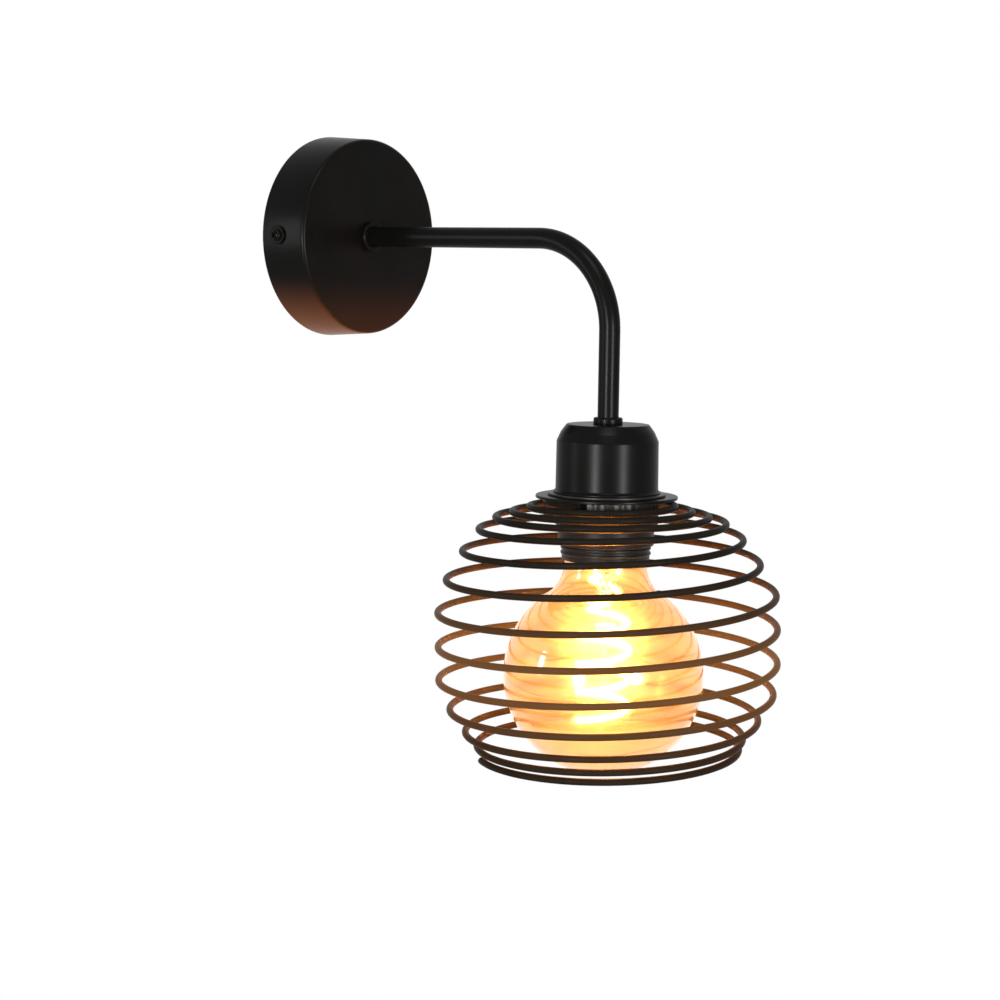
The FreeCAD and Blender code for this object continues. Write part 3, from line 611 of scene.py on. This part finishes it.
def grow(name, build, sizes, material, start=None):
    """A piece made by a geometry tree: build(tree, inputs) returns what to keep."""
    group = bpy.data.node_groups.new(name + "_tree", "GeometryNodeTree")
    group.interface.new_socket("Geometry", in_out="INPUT", socket_type="NodeSocketGeometry")
    group.interface.new_socket("Geometry", in_out="OUTPUT", socket_type="NodeSocketGeometry")
    keys = {}
    for label in sizes:
        socket = group.interface.new_socket(label, in_out="INPUT", socket_type="NodeSocketFloat")
        keys[label] = socket.identifier
    tree = Tree(group)
    source = tree.add("NodeGroupInput")
    inputs = {label: source.out(label) for label in ["Geometry", *sizes]}
    shape = tree.add("GeometryNodeRealizeInstances", {}, {"Geometry": build(tree, inputs)})
    shape = tree.add("GeometryNodeSetMaterial", {}, {"Geometry": shape, "Material": material})
    tree.add("NodeGroupOutput", {}, {"Geometry": shape})
    start_mesh = start.data if start else bpy.data.meshes.new(name + "_source")
    holder = bpy.data.objects.new(name + "_source", start_mesh)
    bpy.context.scene.collection.objects.link(holder)
    modifier = holder.modifiers.new("grow", "NODES")
    modifier.node_group = group
    for label, value in sizes.items():
        modifier[keys[label]] = float(value)
    result = evaluated_mesh(holder)
    holder.modifiers.remove(modifier)
    bpy.data.objects.remove(holder)
    mesh = bmesh.new()
    mesh.from_mesh(result)
    bpy.data.meshes.remove(result)
    return tidy(name, mesh, material)


def sweep_ring(tree, path, radius, sides):
    """A round tube along a curve, closed at both ends."""
    circle = {"Resolution": sides, "Radius": radius}
    ring = tree.add("GeometryNodeCurvePrimitiveCircle", {}, circle)
    return tree.add("GeometryNodeCurveToMesh", {},
                    {"Curve": path, "Profile Curve": ring, "Fill Caps": True})


def tube_along(tree, points, radius, sides):
    """A round tube along the vertices of a mesh line."""
    path = tree.add("GeometryNodeMeshToCurve", {}, {"Mesh": points})
    return sweep_ring(tree, path, radius, sides)


# %% [markdown]
# ## Arm
#
# The arm is one length of thin steel tube with a single bend. Its path is
# three points; Fillet Curve turns the middle one into the bend, and a circle
# swept along gives the tube. The tree's inputs are the sizes that a tube
# bender would ask for.

# %% Arm tube
def arm_tree(tree, size):
    index = tree.add("GeometryNodeInputIndex")
    line = tree.add("GeometryNodeMeshLine", {}, {"Count": 3})
    out_along = tree.maths("MINIMUM", index, 1.0)
    down_along = tree.maths("MAXIMUM", index - 1.0, 0.0)
    y = size["Start"] + (size["Reach"] - size["Start"]) * out_along
    place = tree.vector(0.0, y, size["End"] * down_along)
    line = tree.add("GeometryNodeSetPosition", {}, {"Geometry": line, "Position": place})
    path = tree.add("GeometryNodeMeshToCurve", {}, {"Mesh": line})
    path = tree.add("GeometryNodeFilletCurve", {"mode": "POLY"},
                    {"Curve": path, "Count": 40, "Radius": size["Bend"]})
    return sweep_ring(tree, path, size["Radius"], ARM_SIDES)


ARM_SIDES = 48
ARM = {"Start": TUBE_START_Y, "Reach": DROP_Y, "End": TUBE_END_Z, "Bend": 43.0 * MM,
       "Radius": TUBE_R}
arm = grow("arm", arm_tree, ARM, MATERIALS["black_steel"])
dress(arm, "root", "black_steel", "arm_tube")

# %% [markdown]
# ## Cup
#
# The cup is spun from steel sheet over a former. Its shoulder slopes, its wall
# is all but straight, and the lip is rolled outwards so that it is stiff and
# has no sharp edge. The lip is what rests on the lamp holder's flange.

# %% Socket cup
CUP_SHEET = 1.2 * MM
FLAT_R = 19.4 * MM
CUP_WALL_R = 24.0 * MM
CONE_MIDDLE = (22.05 * MM, CUP_TOP_Z - 3.55 * MM)
SHOULDER_Z = CUP_TOP_Z - 7.9 * MM

cup = lathe("cup_shell", rounded([
    (TUBE_HOLE_R, CUP_TOP_Z, 0.1 * MM),
    (FLAT_R, CUP_TOP_Z, 0.8 * MM),
    (*CONE_MIDDLE, 6.0 * MM),
    (CUP_WALL_R, SHOULDER_Z, 1.5 * MM),
    (CUP_WALL_R + 0.2 * MM, CUP_LOW_Z + 1.6 * MM, 1.2 * MM),
    (CUP_LIP_R, CUP_LOW_Z + 0.7 * MM, 0.3 * MM),
    (CUP_LIP_R, CUP_LOW_Z, 0.25 * MM),
    (CUP_WALL_R - CUP_SHEET, CUP_LOW_Z, 0.3 * MM),
    (CUP_WALL_R - CUP_SHEET, SHOULDER_Z - 0.3 * MM, 1.5 * MM),
    (CONE_MIDDLE[0] - 0.9 * CUP_SHEET, CONE_MIDDLE[1] - 0.5 * CUP_SHEET, 6.0 * MM),
    (FLAT_R - 0.6 * CUP_SHEET, CUP_TOP_Z - CUP_SHEET, 0.6 * MM),
    (TUBE_HOLE_R, CUP_TOP_Z - CUP_SHEET, 0.1 * MM)], 8),
    MATERIALS["black_steel"], AT_DROP, steps=192)
dress(cup, "root", "black_steel", "socket_cup")

# %% [markdown]
# ## Lamp holder sleeve and shade ring
#
# The sleeve is moulded black, with a flange that closes the cup and a coarse
# outside thread. The shade ring screws up that thread and clamps the cage. Its
# rim has grip flutes for wet or oily fingers. Thread turns are drawn as rings
# of the right pitch, because their lead is too small to be seen.

# %% Holder sleeve with its thread
SLEEVE_R = 21.35 * MM
SLEEVE_ROOT_R = 20.75 * MM
SLEEVE_BORE_R = 20.0 * MM
SLEEVE_NECK_R = 19.6 * MM
SLEEVE_NECK = 6.6 * MM
FLANGE_R = half_width("holder_sleeve")
FLANGE_LOW_Z = PLATE_TOP_Z + 0.1 * MM
PITCH = 2.5 * MM

sleeve_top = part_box("holder_sleeve")[1].z
corners = [
    (SLEEVE_NECK_R, sleeve_top, 0.1 * MM), (SLEEVE_R, sleeve_top, 0.2 * MM),
    (SLEEVE_R, CUP_LOW_Z, 0), (FLANGE_R, CUP_LOW_Z, 0.25 * MM),
    (FLANGE_R, FLANGE_LOW_Z, 0.25 * MM), (SLEEVE_ROOT_R, FLANGE_LOW_Z, 0)]
ridge_z = PLATE_TOP_Z - 1.2 * MM
while ridge_z - PITCH > SLEEVE_END_Z + 0.4 * MM:
    corners += [
        (SLEEVE_ROOT_R, ridge_z, 0.15 * MM), (SLEEVE_R, ridge_z - 0.5 * MM, 0.3 * MM),
        (SLEEVE_R, ridge_z - 1.3 * MM, 0.3 * MM),
        (SLEEVE_ROOT_R, ridge_z - 1.8 * MM, 0.15 * MM)]
    ridge_z -= PITCH
corners += [
    (SLEEVE_ROOT_R, SLEEVE_END_Z, 0.3 * MM), (SLEEVE_BORE_R, SLEEVE_END_Z, 0.3 * MM),
    (SLEEVE_BORE_R, sleeve_top - SLEEVE_NECK, 0.1 * MM),
    (SLEEVE_NECK_R, sleeve_top - SLEEVE_NECK, 0)]
sleeve = lathe("sleeve_body", rounded(corners, 3), MATERIALS["black_socket"], AT_DROP, steps=128)
dress(sleeve, "root", "black_socket", "holder_sleeve")

# %% Shade ring with grip flutes
RING_R = half_width("shade_ring")
RING_BORE_R = SLEEVE_R + 0.35 * MM
RING_STEP_Z = RING_END_Z + 10.3 * MM
RING_SKIRT_R = 22.7 * MM
FLUTES = 36
FLUTE_DEPTH = 0.35 * MM

ring = lathe("shade_ring_body", rounded([
    (RING_BORE_R, PLATE_LOW_Z, 0.2 * MM), (RING_R, PLATE_LOW_Z, 0.4 * MM),
    (RING_R, RING_STEP_Z, 0.8 * MM), (RING_SKIRT_R, RING_STEP_Z - 2.4 * MM, 0.5 * MM),
    (RING_SKIRT_R, RING_END_Z, 0.8 * MM), (RING_BORE_R, RING_END_Z, 0.2 * MM)], 5),
    MATERIALS["black_socket"], AT_DROP, steps=FLUTES * 8)
for vertex in ring.data.vertices:
    across = Vector((vertex.co.x, vertex.co.y - DROP_Y))
    in_band = RING_STEP_Z + 1.0 * MM < vertex.co.z < PLATE_LOW_Z - 0.1 * MM
    if across.length > RING_R - 0.5 * MM and in_band:
        wave = 0.5 + 0.5 * math.cos(FLUTES * math.atan2(across.y, across.x))
        across *= 1 - FLUTE_DEPTH * wave / across.length
        vertex.co.x, vertex.co.y = across.x, across.y + DROP_Y
dress(ring, "shade_ring", "black_socket", "shade_ring")

# %% [markdown]
# ## Cage
#
# The cage is one steel wire of 3.3 mm, wound by hand over a former: flat turns
# that step outwards on the shoulder, steep ones down the belly, and two or
# three that draw in and close up at the mouth. The rule is short, so the wire
# is grown by a tree from that rule, and the former's sizes are its inputs.

# %% The cage's winding rule
WIRE_R = 1.65 * MM
WIRE_SIDES = 16
FRONT = math.radians(-140.6)
CAGE_START_Z = PLATE_LOW_Z - 0.01 * MM - WIRE_R
FIRST_TURN = 0.10
LAST_TURN = 13.20
TURN_STEPS = 112
CAGE = {
    "First Turn": 0.081,
    "Last Turn": 13.208,
    "Wire Radius": WIRE_R,
    "Shoulder Radius": 26.3 * MM,
    "Shoulder Step": 7.98 * MM,
    "Belly Radius": 80.4 * MM,
    "Mouth Radius": 62.3 * MM,
    "Draw In": 7.33 * MM,
    "Mouth Turn": 12.0,
    "Flat Pitch": 2.5 * MM,
    "Mouth Pitch": 3.8 * MM,
    "Swell": 86.0 * MM,
    "Swell From": 3.25,
    "Swell Turns": 9.25,
    "Start Height": CAGE_START_Z,
    "Tilt": math.radians(2.2),
    "Tilt From": 1.5,
    "Tilt Turns": 5.0,
}
SOFT = 1.2 * MM


def soft_least(tree, a, b, sign):
    """The lesser (sign 1) or greater (sign -1) of two lengths, with a soft change-over."""
    return (a + b - sign * tree.maths("SQRT", (a - b) ** 2.0 + SOFT * SOFT)) * 0.5


def cage_fall(tree, size, turn):
    """How far the wire has come down after so many turns."""
    flat = size["Flat Pitch"] * tree.maths("MINIMUM", turn, size["Mouth Turn"])
    mouth = size["Mouth Pitch"] * tree.maths("MAXIMUM", turn - size["Mouth Turn"], 0.0)
    swell = tree.smooth_step((turn - size["Swell From"]) / size["Swell Turns"])
    return flat + mouth + size["Swell"] * swell


def cage_tree(tree, size):
    count = int(TURN_STEPS * (LAST_TURN - FIRST_TURN))
    index = tree.add("GeometryNodeInputIndex")
    turns = size["Last Turn"] - size["First Turn"]
    turn = size["First Turn"] + turns * (index / float(count - 1))
    shoulder = size["Shoulder Radius"] + size["Shoulder Step"] * turn
    tuck = size["Mouth Radius"] + size["Draw In"] * (size["Mouth Turn"] - turn)
    widest = soft_least(tree, shoulder, size["Belly Radius"], 1)
    radius = soft_least(tree, widest, soft_least(tree, tuck, size["Mouth Radius"], -1), 1)
    angle = FRONT - math.tau * turn
    x = radius * tree.maths("COSINE", angle)
    y = radius * tree.maths("SINE", angle)
    start_turn = tree.add("ShaderNodeValue")
    start_turn.socket.default_value = FIRST_TURN
    fall = cage_fall(tree, size, turn) - cage_fall(tree, size, start_turn)
    tilt = size["Tilt"] * tree.smooth_step((turn - size["Tilt From"]) / size["Tilt Turns"])
    cosine, sine = tree.maths("COSINE", tilt), tree.maths("SINE", tilt)
    height = x * sine - fall * cosine + size["Start Height"]
    place = tree.vector(x * cosine + fall * sine, y + DROP_Y, height)
    line = tree.add("GeometryNodeMeshLine", {}, {"Count": count})
    line = tree.add("GeometryNodeSetPosition", {}, {"Geometry": line, "Position": place})
    return tube_along(tree, line, size["Wire Radius"], WIRE_SIDES)


cage = grow("cage_wire", cage_tree, CAGE, WIRE_COAT_AND_PAINTED_GLOW)
dress(cage, "cage", "black_steel", "cage_spiral")
low, high = (Vector(corner) for corner in (cage.bound_box[0], cage.bound_box[6]))
solid_low, solid_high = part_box("cage_spiral")
apart = (*(low - solid_low), *(high - solid_high))
print("wire against its solid, mm:", [round(v / MM, 2) for v in apart])

# %% [markdown]
# ## Cage plate
#
# A flat ring holds the cage under the lamp holder's flange, with a small lug
# that the wire's first turn is welded to. The ring is turned; the lug is a
# block along the wire with a bevel, as a weld would soften it.

# %% Cage plate and lug
PLATE_R = 33.5 * MM
PLATE_HOLE_R = 21.85 * MM
PLATE_UNDER_Z = PLATE_TOP_Z - 1.4 * MM
LUG = (1.8 * MM, 4.6 * MM, 3.3 * MM)
LUG_BACK = 4.2 * MM
plate = lathe("cage_plate", rounded([
    (PLATE_HOLE_R, PLATE_TOP_Z, 0.15 * MM), (PLATE_R, PLATE_TOP_Z, 0.35 * MM),
    (PLATE_R, PLATE_UNDER_Z, 0.35 * MM), (PLATE_HOLE_R, PLATE_UNDER_Z, 0.15 * MM)]),
    MATERIALS["black_steel"], AT_DROP, steps=160)
dress(plate, "cage", "black_steel", "cage_top_plate")


def wire_lug():
    """Bevelled block at the wire's first end, square to it."""
    turn_angle = FRONT - math.tau * FIRST_TURN
    r = CAGE["Shoulder Radius"] + CAGE["Shoulder Step"] * FIRST_TURN
    heading = Vector((math.sin(turn_angle), -math.cos(turn_angle), 0))
    end = Vector((r * math.cos(turn_angle), r * math.sin(turn_angle) + DROP_Y, CAGE_START_Z))
    end -= heading * LUG_BACK
    mesh = bmesh.new()
    bmesh.ops.create_cube(mesh, size=1.0)
    mesh.transform(Matrix.Diagonal((*LUG, 1)))
    bmesh.ops.bevel(mesh, geom=mesh.edges[:], offset=0.4 * MM, segments=3, affect="EDGES")
    mesh.transform(Matrix.Rotation(math.atan2(heading.y, heading.x), 4, "Z"))
    mesh.transform(Matrix.Translation(end))
    return tidy("wire_lug", mesh, MATERIALS["black_steel"])


dress(wire_lug(), "cage", "black_steel", "cage_top_plate")

# %% [markdown]
# ## Globe bulb
#
# The glass is one blown shell: a straight neck in the cap, a flare, and a
# globe. Its outline is a few arcs, drawn through three points each, and the
# inner wall is the same outline set in by the glass's thickness.

# %% Globe
def arc(first, middle, last, steps):
    """Points on the circle through three points, without the first."""
    (ax, ay), (bx, by), (cx, cy) = first, middle, last
    d = 2 * (ax * (by - cy) + bx * (cy - ay) + cx * (ay - by))
    a2, b2, c2 = (x * x + y * y for x, y in (first, middle, last))
    ux = (a2 * (by - cy) + b2 * (cy - ay) + c2 * (ay - by)) / d
    uy = (a2 * (cx - bx) + b2 * (ax - cx) + c2 * (bx - ax)) / d
    start = math.atan2(ay - uy, ax - ux)
    turn = math.atan2(cy - uy, cx - ux) - start
    through = (math.atan2(by - uy, bx - ux) - start) % math.tau
    turn = turn % math.tau if through < turn % math.tau else turn % math.tau - math.tau
    r = math.hypot(ax - ux, ay - uy)
    angles = [start + turn * k / steps for k in range(1, steps + 1)]
    return [Vector((ux + r * math.cos(a), uy + r * math.sin(a))) for a in angles]


GLASS = 0.9 * MM
JOIN = math.radians(52.0)
join = (BULB_R * math.cos(JOIN), BULB_Z + BULB_R * math.sin(JOIN))
neck = in_mm([(15.4, -143.0), (18.2, -146.6), (19.3, -151.0),
              (20.2, -157.2), (22.6, -162.6), (25.4, -165.9)])
outside = [Vector(neck[0])]
outside += arc(neck[0], neck[1], neck[2], 8)
outside += arc(neck[2], neck[3], neck[4], 12)
outside += arc(neck[4], neck[5], join, 8)
outside += arc(join, (BULB_R, BULB_Z), (0.0, BULB_LOW_Z), 90)


def wall(path, thickness):
    """Close an open outline with a second wall, set in by the thickness."""
    inside = []
    for i, point in enumerate(path):
        along = (path[min(i + 1, len(path) - 1)] - path[max(i - 1, 0)]).normalized()
        inside.append(point + Vector((along.y, -along.x)) * thickness)
    inside[-1] = Vector((0.0, path[-1].y + thickness))
    return path + inside[::-1]


globe = lathe("globe", wall(outside, GLASS), MATERIALS["amber_glass"], AT_DROP, steps=192)
dress(globe, "bulb", "amber_glass", "bulb_glass")
inner_r = min(math.hypot(p.x, p.y - BULB_Z) for p in wall(outside, GLASS) if p.y < BULB_Z)
print(f"glass wall below the belly {(BULB_R - inner_r) / MM:.2f} mm")

# %% Screw cap
CAP_TOP_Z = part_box("bulb_cap")[1].z
CAP_END_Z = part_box("bulb_cap")[0].z
CAP_R = half_width("bulb_cap")
CAP_ROOT_R = CAP_R - 0.9 * MM
CAP_INNER_R = CAP_R - 1.3 * MM
CAP_HOLE_R = 9.0 * MM
CAP_PITCH = 3.629 * MM
corners = [(CAP_HOLE_R, CAP_TOP_Z, 0), (11.6 * MM, CAP_TOP_Z, 0.4 * MM),
           (CAP_ROOT_R, CAP_TOP_Z - 1.0 * MM, 0)]
ridge_z = CAP_TOP_Z - 1.0 * MM
while ridge_z - CAP_PITCH > CAP_END_Z + 2.0 * MM:
    corners += [(CAP_ROOT_R, ridge_z - 0.1 * MM, 0),
                (CAP_R, ridge_z - 0.5 * CAP_PITCH, 0.9 * MM),
                (CAP_ROOT_R, ridge_z - CAP_PITCH + 0.1 * MM, 0)]
    ridge_z -= CAP_PITCH
corners += [
    (CAP_R, CAP_END_Z + 1.0 * MM, 0), (CAP_R, CAP_END_Z, 0.1 * MM),
    (CAP_R - 0.4 * MM, CAP_END_Z, 0), (CAP_INNER_R, CAP_END_Z + 2.4 * MM, 0),
    (CAP_INNER_R, CAP_TOP_Z - 0.8 * MM, 0), (CAP_HOLE_R, CAP_TOP_Z - 0.8 * MM, 0)]
cap = lathe("screw_cap", rounded(corners, 4), MATERIALS["nickel"], AT_DROP, steps=96)
dress(cap, "bulb", "nickel", "bulb_cap")

# %% [markdown]
# ## Filament
#
# The light comes from one soft strip, wound as a narrow turn in the neck and
# four wide ones in the globe. It follows a rule as the cage does, so it is
# grown in the same way.

# %% Spiral filament
FILAMENT = {"Turns": 5.3, "Strip Radius": 1.25 * MM, "Top": -157.5 * MM, "Bottom": -229.0 * MM,
            "Neck Coil": 6.6 * MM, "Wide Coil": 12.0 * MM, "Widen From": 0.9, "Widen Turns": 1.1}
FILAMENT_START = math.radians(200)
STRIP_SIDES = 14


def filament_tree(tree, size):
    count = 480
    index = tree.add("GeometryNodeInputIndex")
    turn = size["Turns"] * (index / float(count - 1))
    wide = tree.smooth_step((turn - size["Widen From"]) / size["Widen Turns"])
    radius = size["Neck Coil"] + (size["Wide Coil"] - size["Neck Coil"]) * wide
    angle = FILAMENT_START - math.tau * turn
    height = size["Top"] + (size["Bottom"] - size["Top"]) * (turn / size["Turns"])
    x = radius * tree.maths("COSINE", angle)
    y = radius * tree.maths("SINE", angle) + DROP_Y
    line = tree.add("GeometryNodeMeshLine", {}, {"Count": count})
    line = tree.add("GeometryNodeSetPosition", {},
                    {"Geometry": line, "Position": tree.vector(x, y, height)})
    return tube_along(tree, line, size["Strip Radius"], STRIP_SIDES)


filament = grow("filament", filament_tree, FILAMENT, MATERIALS["filament"])
dress(filament, "bulb", "filament", "led_filament")

# %% [markdown]
# ## Side screws
#
# Two cross-head screws hold the canopy to its bracket, each over a cupped
# washer. One screw and one washer are modelled, and a tree sets a copy at each
# side, turned to face outwards.

# %% Screw and washer, one at each side
SCREW_Y = -10.0 * MM
SKIN_X = CANOPY_R - 0.7 * MM
HEAD_R = 3.0 * MM
HEAD_EDGE = 0.7 * MM
RECESS = (3.6 * MM, 0.8 * MM, 2.0 * MM)


def screw_head():
    """Domed head with a cross recess, its seat at z = 0."""
    dome = [Vector((0, 0)), Vector((HEAD_R, 0)), Vector((HEAD_R, HEAD_EDGE))]
    dome += arc((HEAD_R, HEAD_EDGE), (2.35 * MM, 1.75 * MM), (0.9 * MM, 2.3 * MM), 8)
    dome += [Vector((0, 2.4 * MM))]
    head = lathe("screw_head", dome, MATERIALS["black_steel"], Matrix.Identity(4), steps=48)
    cutter = bmesh.new()
    for angle in (0, 90):
        wing = bmesh.ops.create_cube(cutter, size=1.0)["verts"]
        turn = Matrix.Rotation(math.radians(angle + 45), 4, "Z")
        shape = Matrix.Translation((0, 0, 2.0 * MM)) @ Matrix.Diagonal((*RECESS, 1))
        bmesh.ops.transform(cutter, matrix=turn @ shape, verts=wing)
    tool = tidy("cross_cutter", cutter, MATERIALS["black_steel"])
    cut = head.modifiers.new("recess", "BOOLEAN")
    cut.object = tool
    cut.solver = "EXACT"
    cut.use_self = True
    result = evaluated_mesh(head)
    head.modifiers.remove(cut)
    head.data = result
    bpy.data.objects.remove(tool)
    return head


def both_sides(tree, size):
    """A copy of the start shape on each side of the canopy, facing outwards."""
    index = tree.add("GeometryNodeInputIndex")
    side = index * 2.0 - 1.0
    line = tree.add("GeometryNodeMeshLine", {}, {"Count": 2})
    place = tree.vector(side * size["Half Span"], size["Depth"], 0.0)
    line = tree.add("GeometryNodeSetPosition", {}, {"Geometry": line, "Position": place})
    turn = tree.vector(0.0, side * (math.pi / 2), 0.0)
    return tree.add("GeometryNodeInstanceOnPoints", {},
                    {"Points": line, "Instance": size["Geometry"], "Rotation": turn})


single = screw_head()
SCREW_SPAN = {"Half Span": SKIN_X + 0.9 * MM, "Depth": SCREW_Y}
screws = grow("side_screws", both_sides, SCREW_SPAN, MATERIALS["black_steel"], single)
bpy.data.objects.remove(single)
dress(screws, "root", "black_steel", "canopy_side_screws")

cupped = rounded(in_mm([
    (2.2, 0.05, 0), (3.4, 0.05, 0), (3.4, 0.3, 0), (4.8, 0.3, 0.3), (4.8, 1.1, 0.25),
    (4.1, 0.9, 0.3), (2.2, 0.9, 0)]))
single = lathe("washer", cupped, MATERIALS["black_steel"], Matrix.Identity(4), steps=64)
WASHER_SPAN = {"Half Span": SKIN_X, "Depth": SCREW_Y}
washers = grow("side_washers", both_sides, WASHER_SPAN, MATERIALS["black_steel"], single)
bpy.data.objects.remove(single)
dress(washers, "root", "black_steel", "canopy_side_washers")

# %% [markdown]
# ## Light, floor and camera
#
# The lamp hangs in a white studio. A world that is white to the camera, to
# gloss and through glass gives the bright ground, while the light that falls
# on the lamp is softer. Two narrow lamps stand left and right of the camera and
# draw the soft upright lines on the cup, a third catches the canopy's rim from
# the side, and a broad one hangs above.

# %% World and floor
FLOOR_Z = -0.62
FILL = 0.35
LEAST_LIT = 0.75
FADE_FROM, FADE_OVER = 0.35, 0.45


def seen_share(tree):
    """1 for rays that look: from the camera, off gloss or through glass."""
    path = tree.add("ShaderNodeLightPath", out="Is Camera Ray")
    return tree.clamp(path + path.out("Is Glossy Ray") + path.out("Is Transmission Ray"))


def studio_world():
    world = bpy.data.worlds.new("studio")
    world.use_nodes = True
    tree = Tree(world.node_tree)
    background = world.node_tree.nodes["Background"]
    background.inputs["Color"].default_value = (*WHITE, 1.0)
    strength = FILL + (1.0 - FILL) * seen_share(tree)
    world.node_tree.links.new(strength.socket, background.inputs["Strength"])
    bpy.context.scene.world = world


def studio_floor():
    mesh = bmesh.new()
    bmesh.ops.create_circle(mesh, cap_ends=True, segments=96, radius=30.0)
    mesh.transform(Matrix.Translation((0, 0, FLOOR_Z)))
    made, tree, shader = surface(
        "pale_floor", base_color=(0.86, 0.86, 0.86), roughness=0.9, specular_ior_level=0.0)
    lit = tree.add("ShaderNodeEmission", {}, {"Color": (*WHITE, 1.0), "Strength": 1.0})
    place = tree.add("ShaderNodeTexCoord", out="Object")
    place = tree.add("ShaderNodeVectorMath", {"operation": "SUBTRACT"},
                     {0: place, 1: (0.0, DROP_Y, 0.0)})
    away = tree.add("ShaderNodeVectorMath", {"operation": "LENGTH"}, {0: place}, "Value")
    far = tree.smooth_step((away - FADE_FROM) / FADE_OVER)
    share = (LEAST_LIT + (1.0 - LEAST_LIT) * far) * seen_share(tree)
    paint = Link(tree, shader.outputs[0])
    both = tree.add("ShaderNodeMixShader", {}, {0: share, 1: paint, 2: lit})
    made.node_tree.links.new(both.socket, made.node_tree.nodes["Material Output"].inputs["Surface"])
    floor = tidy("floor", mesh, made)
    floor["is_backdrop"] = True


studio_world()
studio_floor()

# %% Lamps
CUP_CENTRE = Vector((0, DROP_Y, -0.10))
BULB_WATTS = 4.5
BULB_COLOUR = (1.0, 0.48, 0.16)


def soft_lamp(name, degrees, height, distance, width, tall, watts):
    """An area lamp that faces the cup, so many degrees round to the camera's right."""
    angle = FRONT + math.radians(degrees)
    data = bpy.data.lights.new(name, "AREA")
    data.shape = "RECTANGLE"
    data.size, data.size_y = width, tall
    data.energy = watts
    lamp = bpy.data.objects.new(name, data)
    bpy.context.scene.collection.objects.link(lamp)
    outwards = Vector((math.cos(angle), math.sin(angle), 0))
    lamp.location = CUP_CENTRE + outwards * distance + Vector((0, 0, height))
    lamp.rotation_euler = (lamp.location - CUP_CENTRE).to_track_quat("Z", "Y").to_euler()
    print(f"{name}: {watts} W at {distance} m")


def bulb_light(watts, colour):
    """A small ball lamp in the globe, for the light that leaves it."""
    data = bpy.data.lights.new("bulb_light", "POINT")
    data.energy = watts
    data.color = colour
    data.shadow_soft_size = 12 * MM
    lamp = bpy.data.objects.new("bulb_light", data)
    bpy.context.scene.collection.objects.link(lamp)
    lamp.location = (0, DROP_Y, BULB_Z + 12 * MM)
    lamp.visible_transmission = False
    print(f"bulb light: {watts} W")


# Degrees to the camera's right, height, distance, width, tall, watts.
LAMPS = {
    "left_strip": (-29.0, 0.0, 1.2, 0.035, 0.32, 24.0),
    "right_strip": (33.5, 0.0, 1.2, 0.08, 0.32, 22.0),
    "overhead": (0.0, 1.0, 0.55, 0.4, 0.4, 7.0),
    "left_side": (-80.0, 0.15, 1.2, 0.12, 0.45, 4.0),
}
bulb_light(BULB_WATTS, BULB_COLOUR)
for lamp_name, lamp_values in LAMPS.items():
    soft_lamp(lamp_name, *lamp_values)

# %% Camera
CAMERA_PLACE = Vector((-0.88860, -0.84257, -0.00911))
BACK = Vector((-0.76907, -0.63092, 0.10229)).normalized()
ROLL = math.radians(0.819)
LENS = 85.15


def camera():
    """A long lens a little above the globe, looking slightly down, with a slight roll."""
    data = bpy.data.cameras.new("camera")
    data.lens = LENS
    data.sensor_width = 36.0
    made = bpy.data.objects.new("camera", data)
    bpy.context.scene.collection.objects.link(made)
    right = Vector((0, 0, 1)).cross(BACK).normalized()
    up = BACK.cross(right)
    turned_right = right * math.cos(ROLL) + up * math.sin(ROLL)
    axes = Matrix((turned_right, BACK.cross(turned_right), BACK)).transposed()
    made.matrix_world = Matrix.Translation(CAMERA_PLACE) @ axes.to_4x4()
    bpy.context.scene.camera = made
    print(f"camera {CAMERA_PLACE.length:.2f} m from the canopy's back")


camera()
bpy.context.scene.view_settings.view_transform = "Standard"

# %% [markdown]
# ## The boxes at the end
#
# The solids' box and the dressed lamp's box are kept side by side, so that a
# piece which grew past its solid is found at once.

# %% Compare the boxes and finish
seen_low, seen_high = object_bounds()
past = [a - b for a, b in zip((*cad_low, *seen_high), (*seen_low, *cad_high))]
print("grown past the solids by, mm:", [round(v / MM, 2) for v in past])
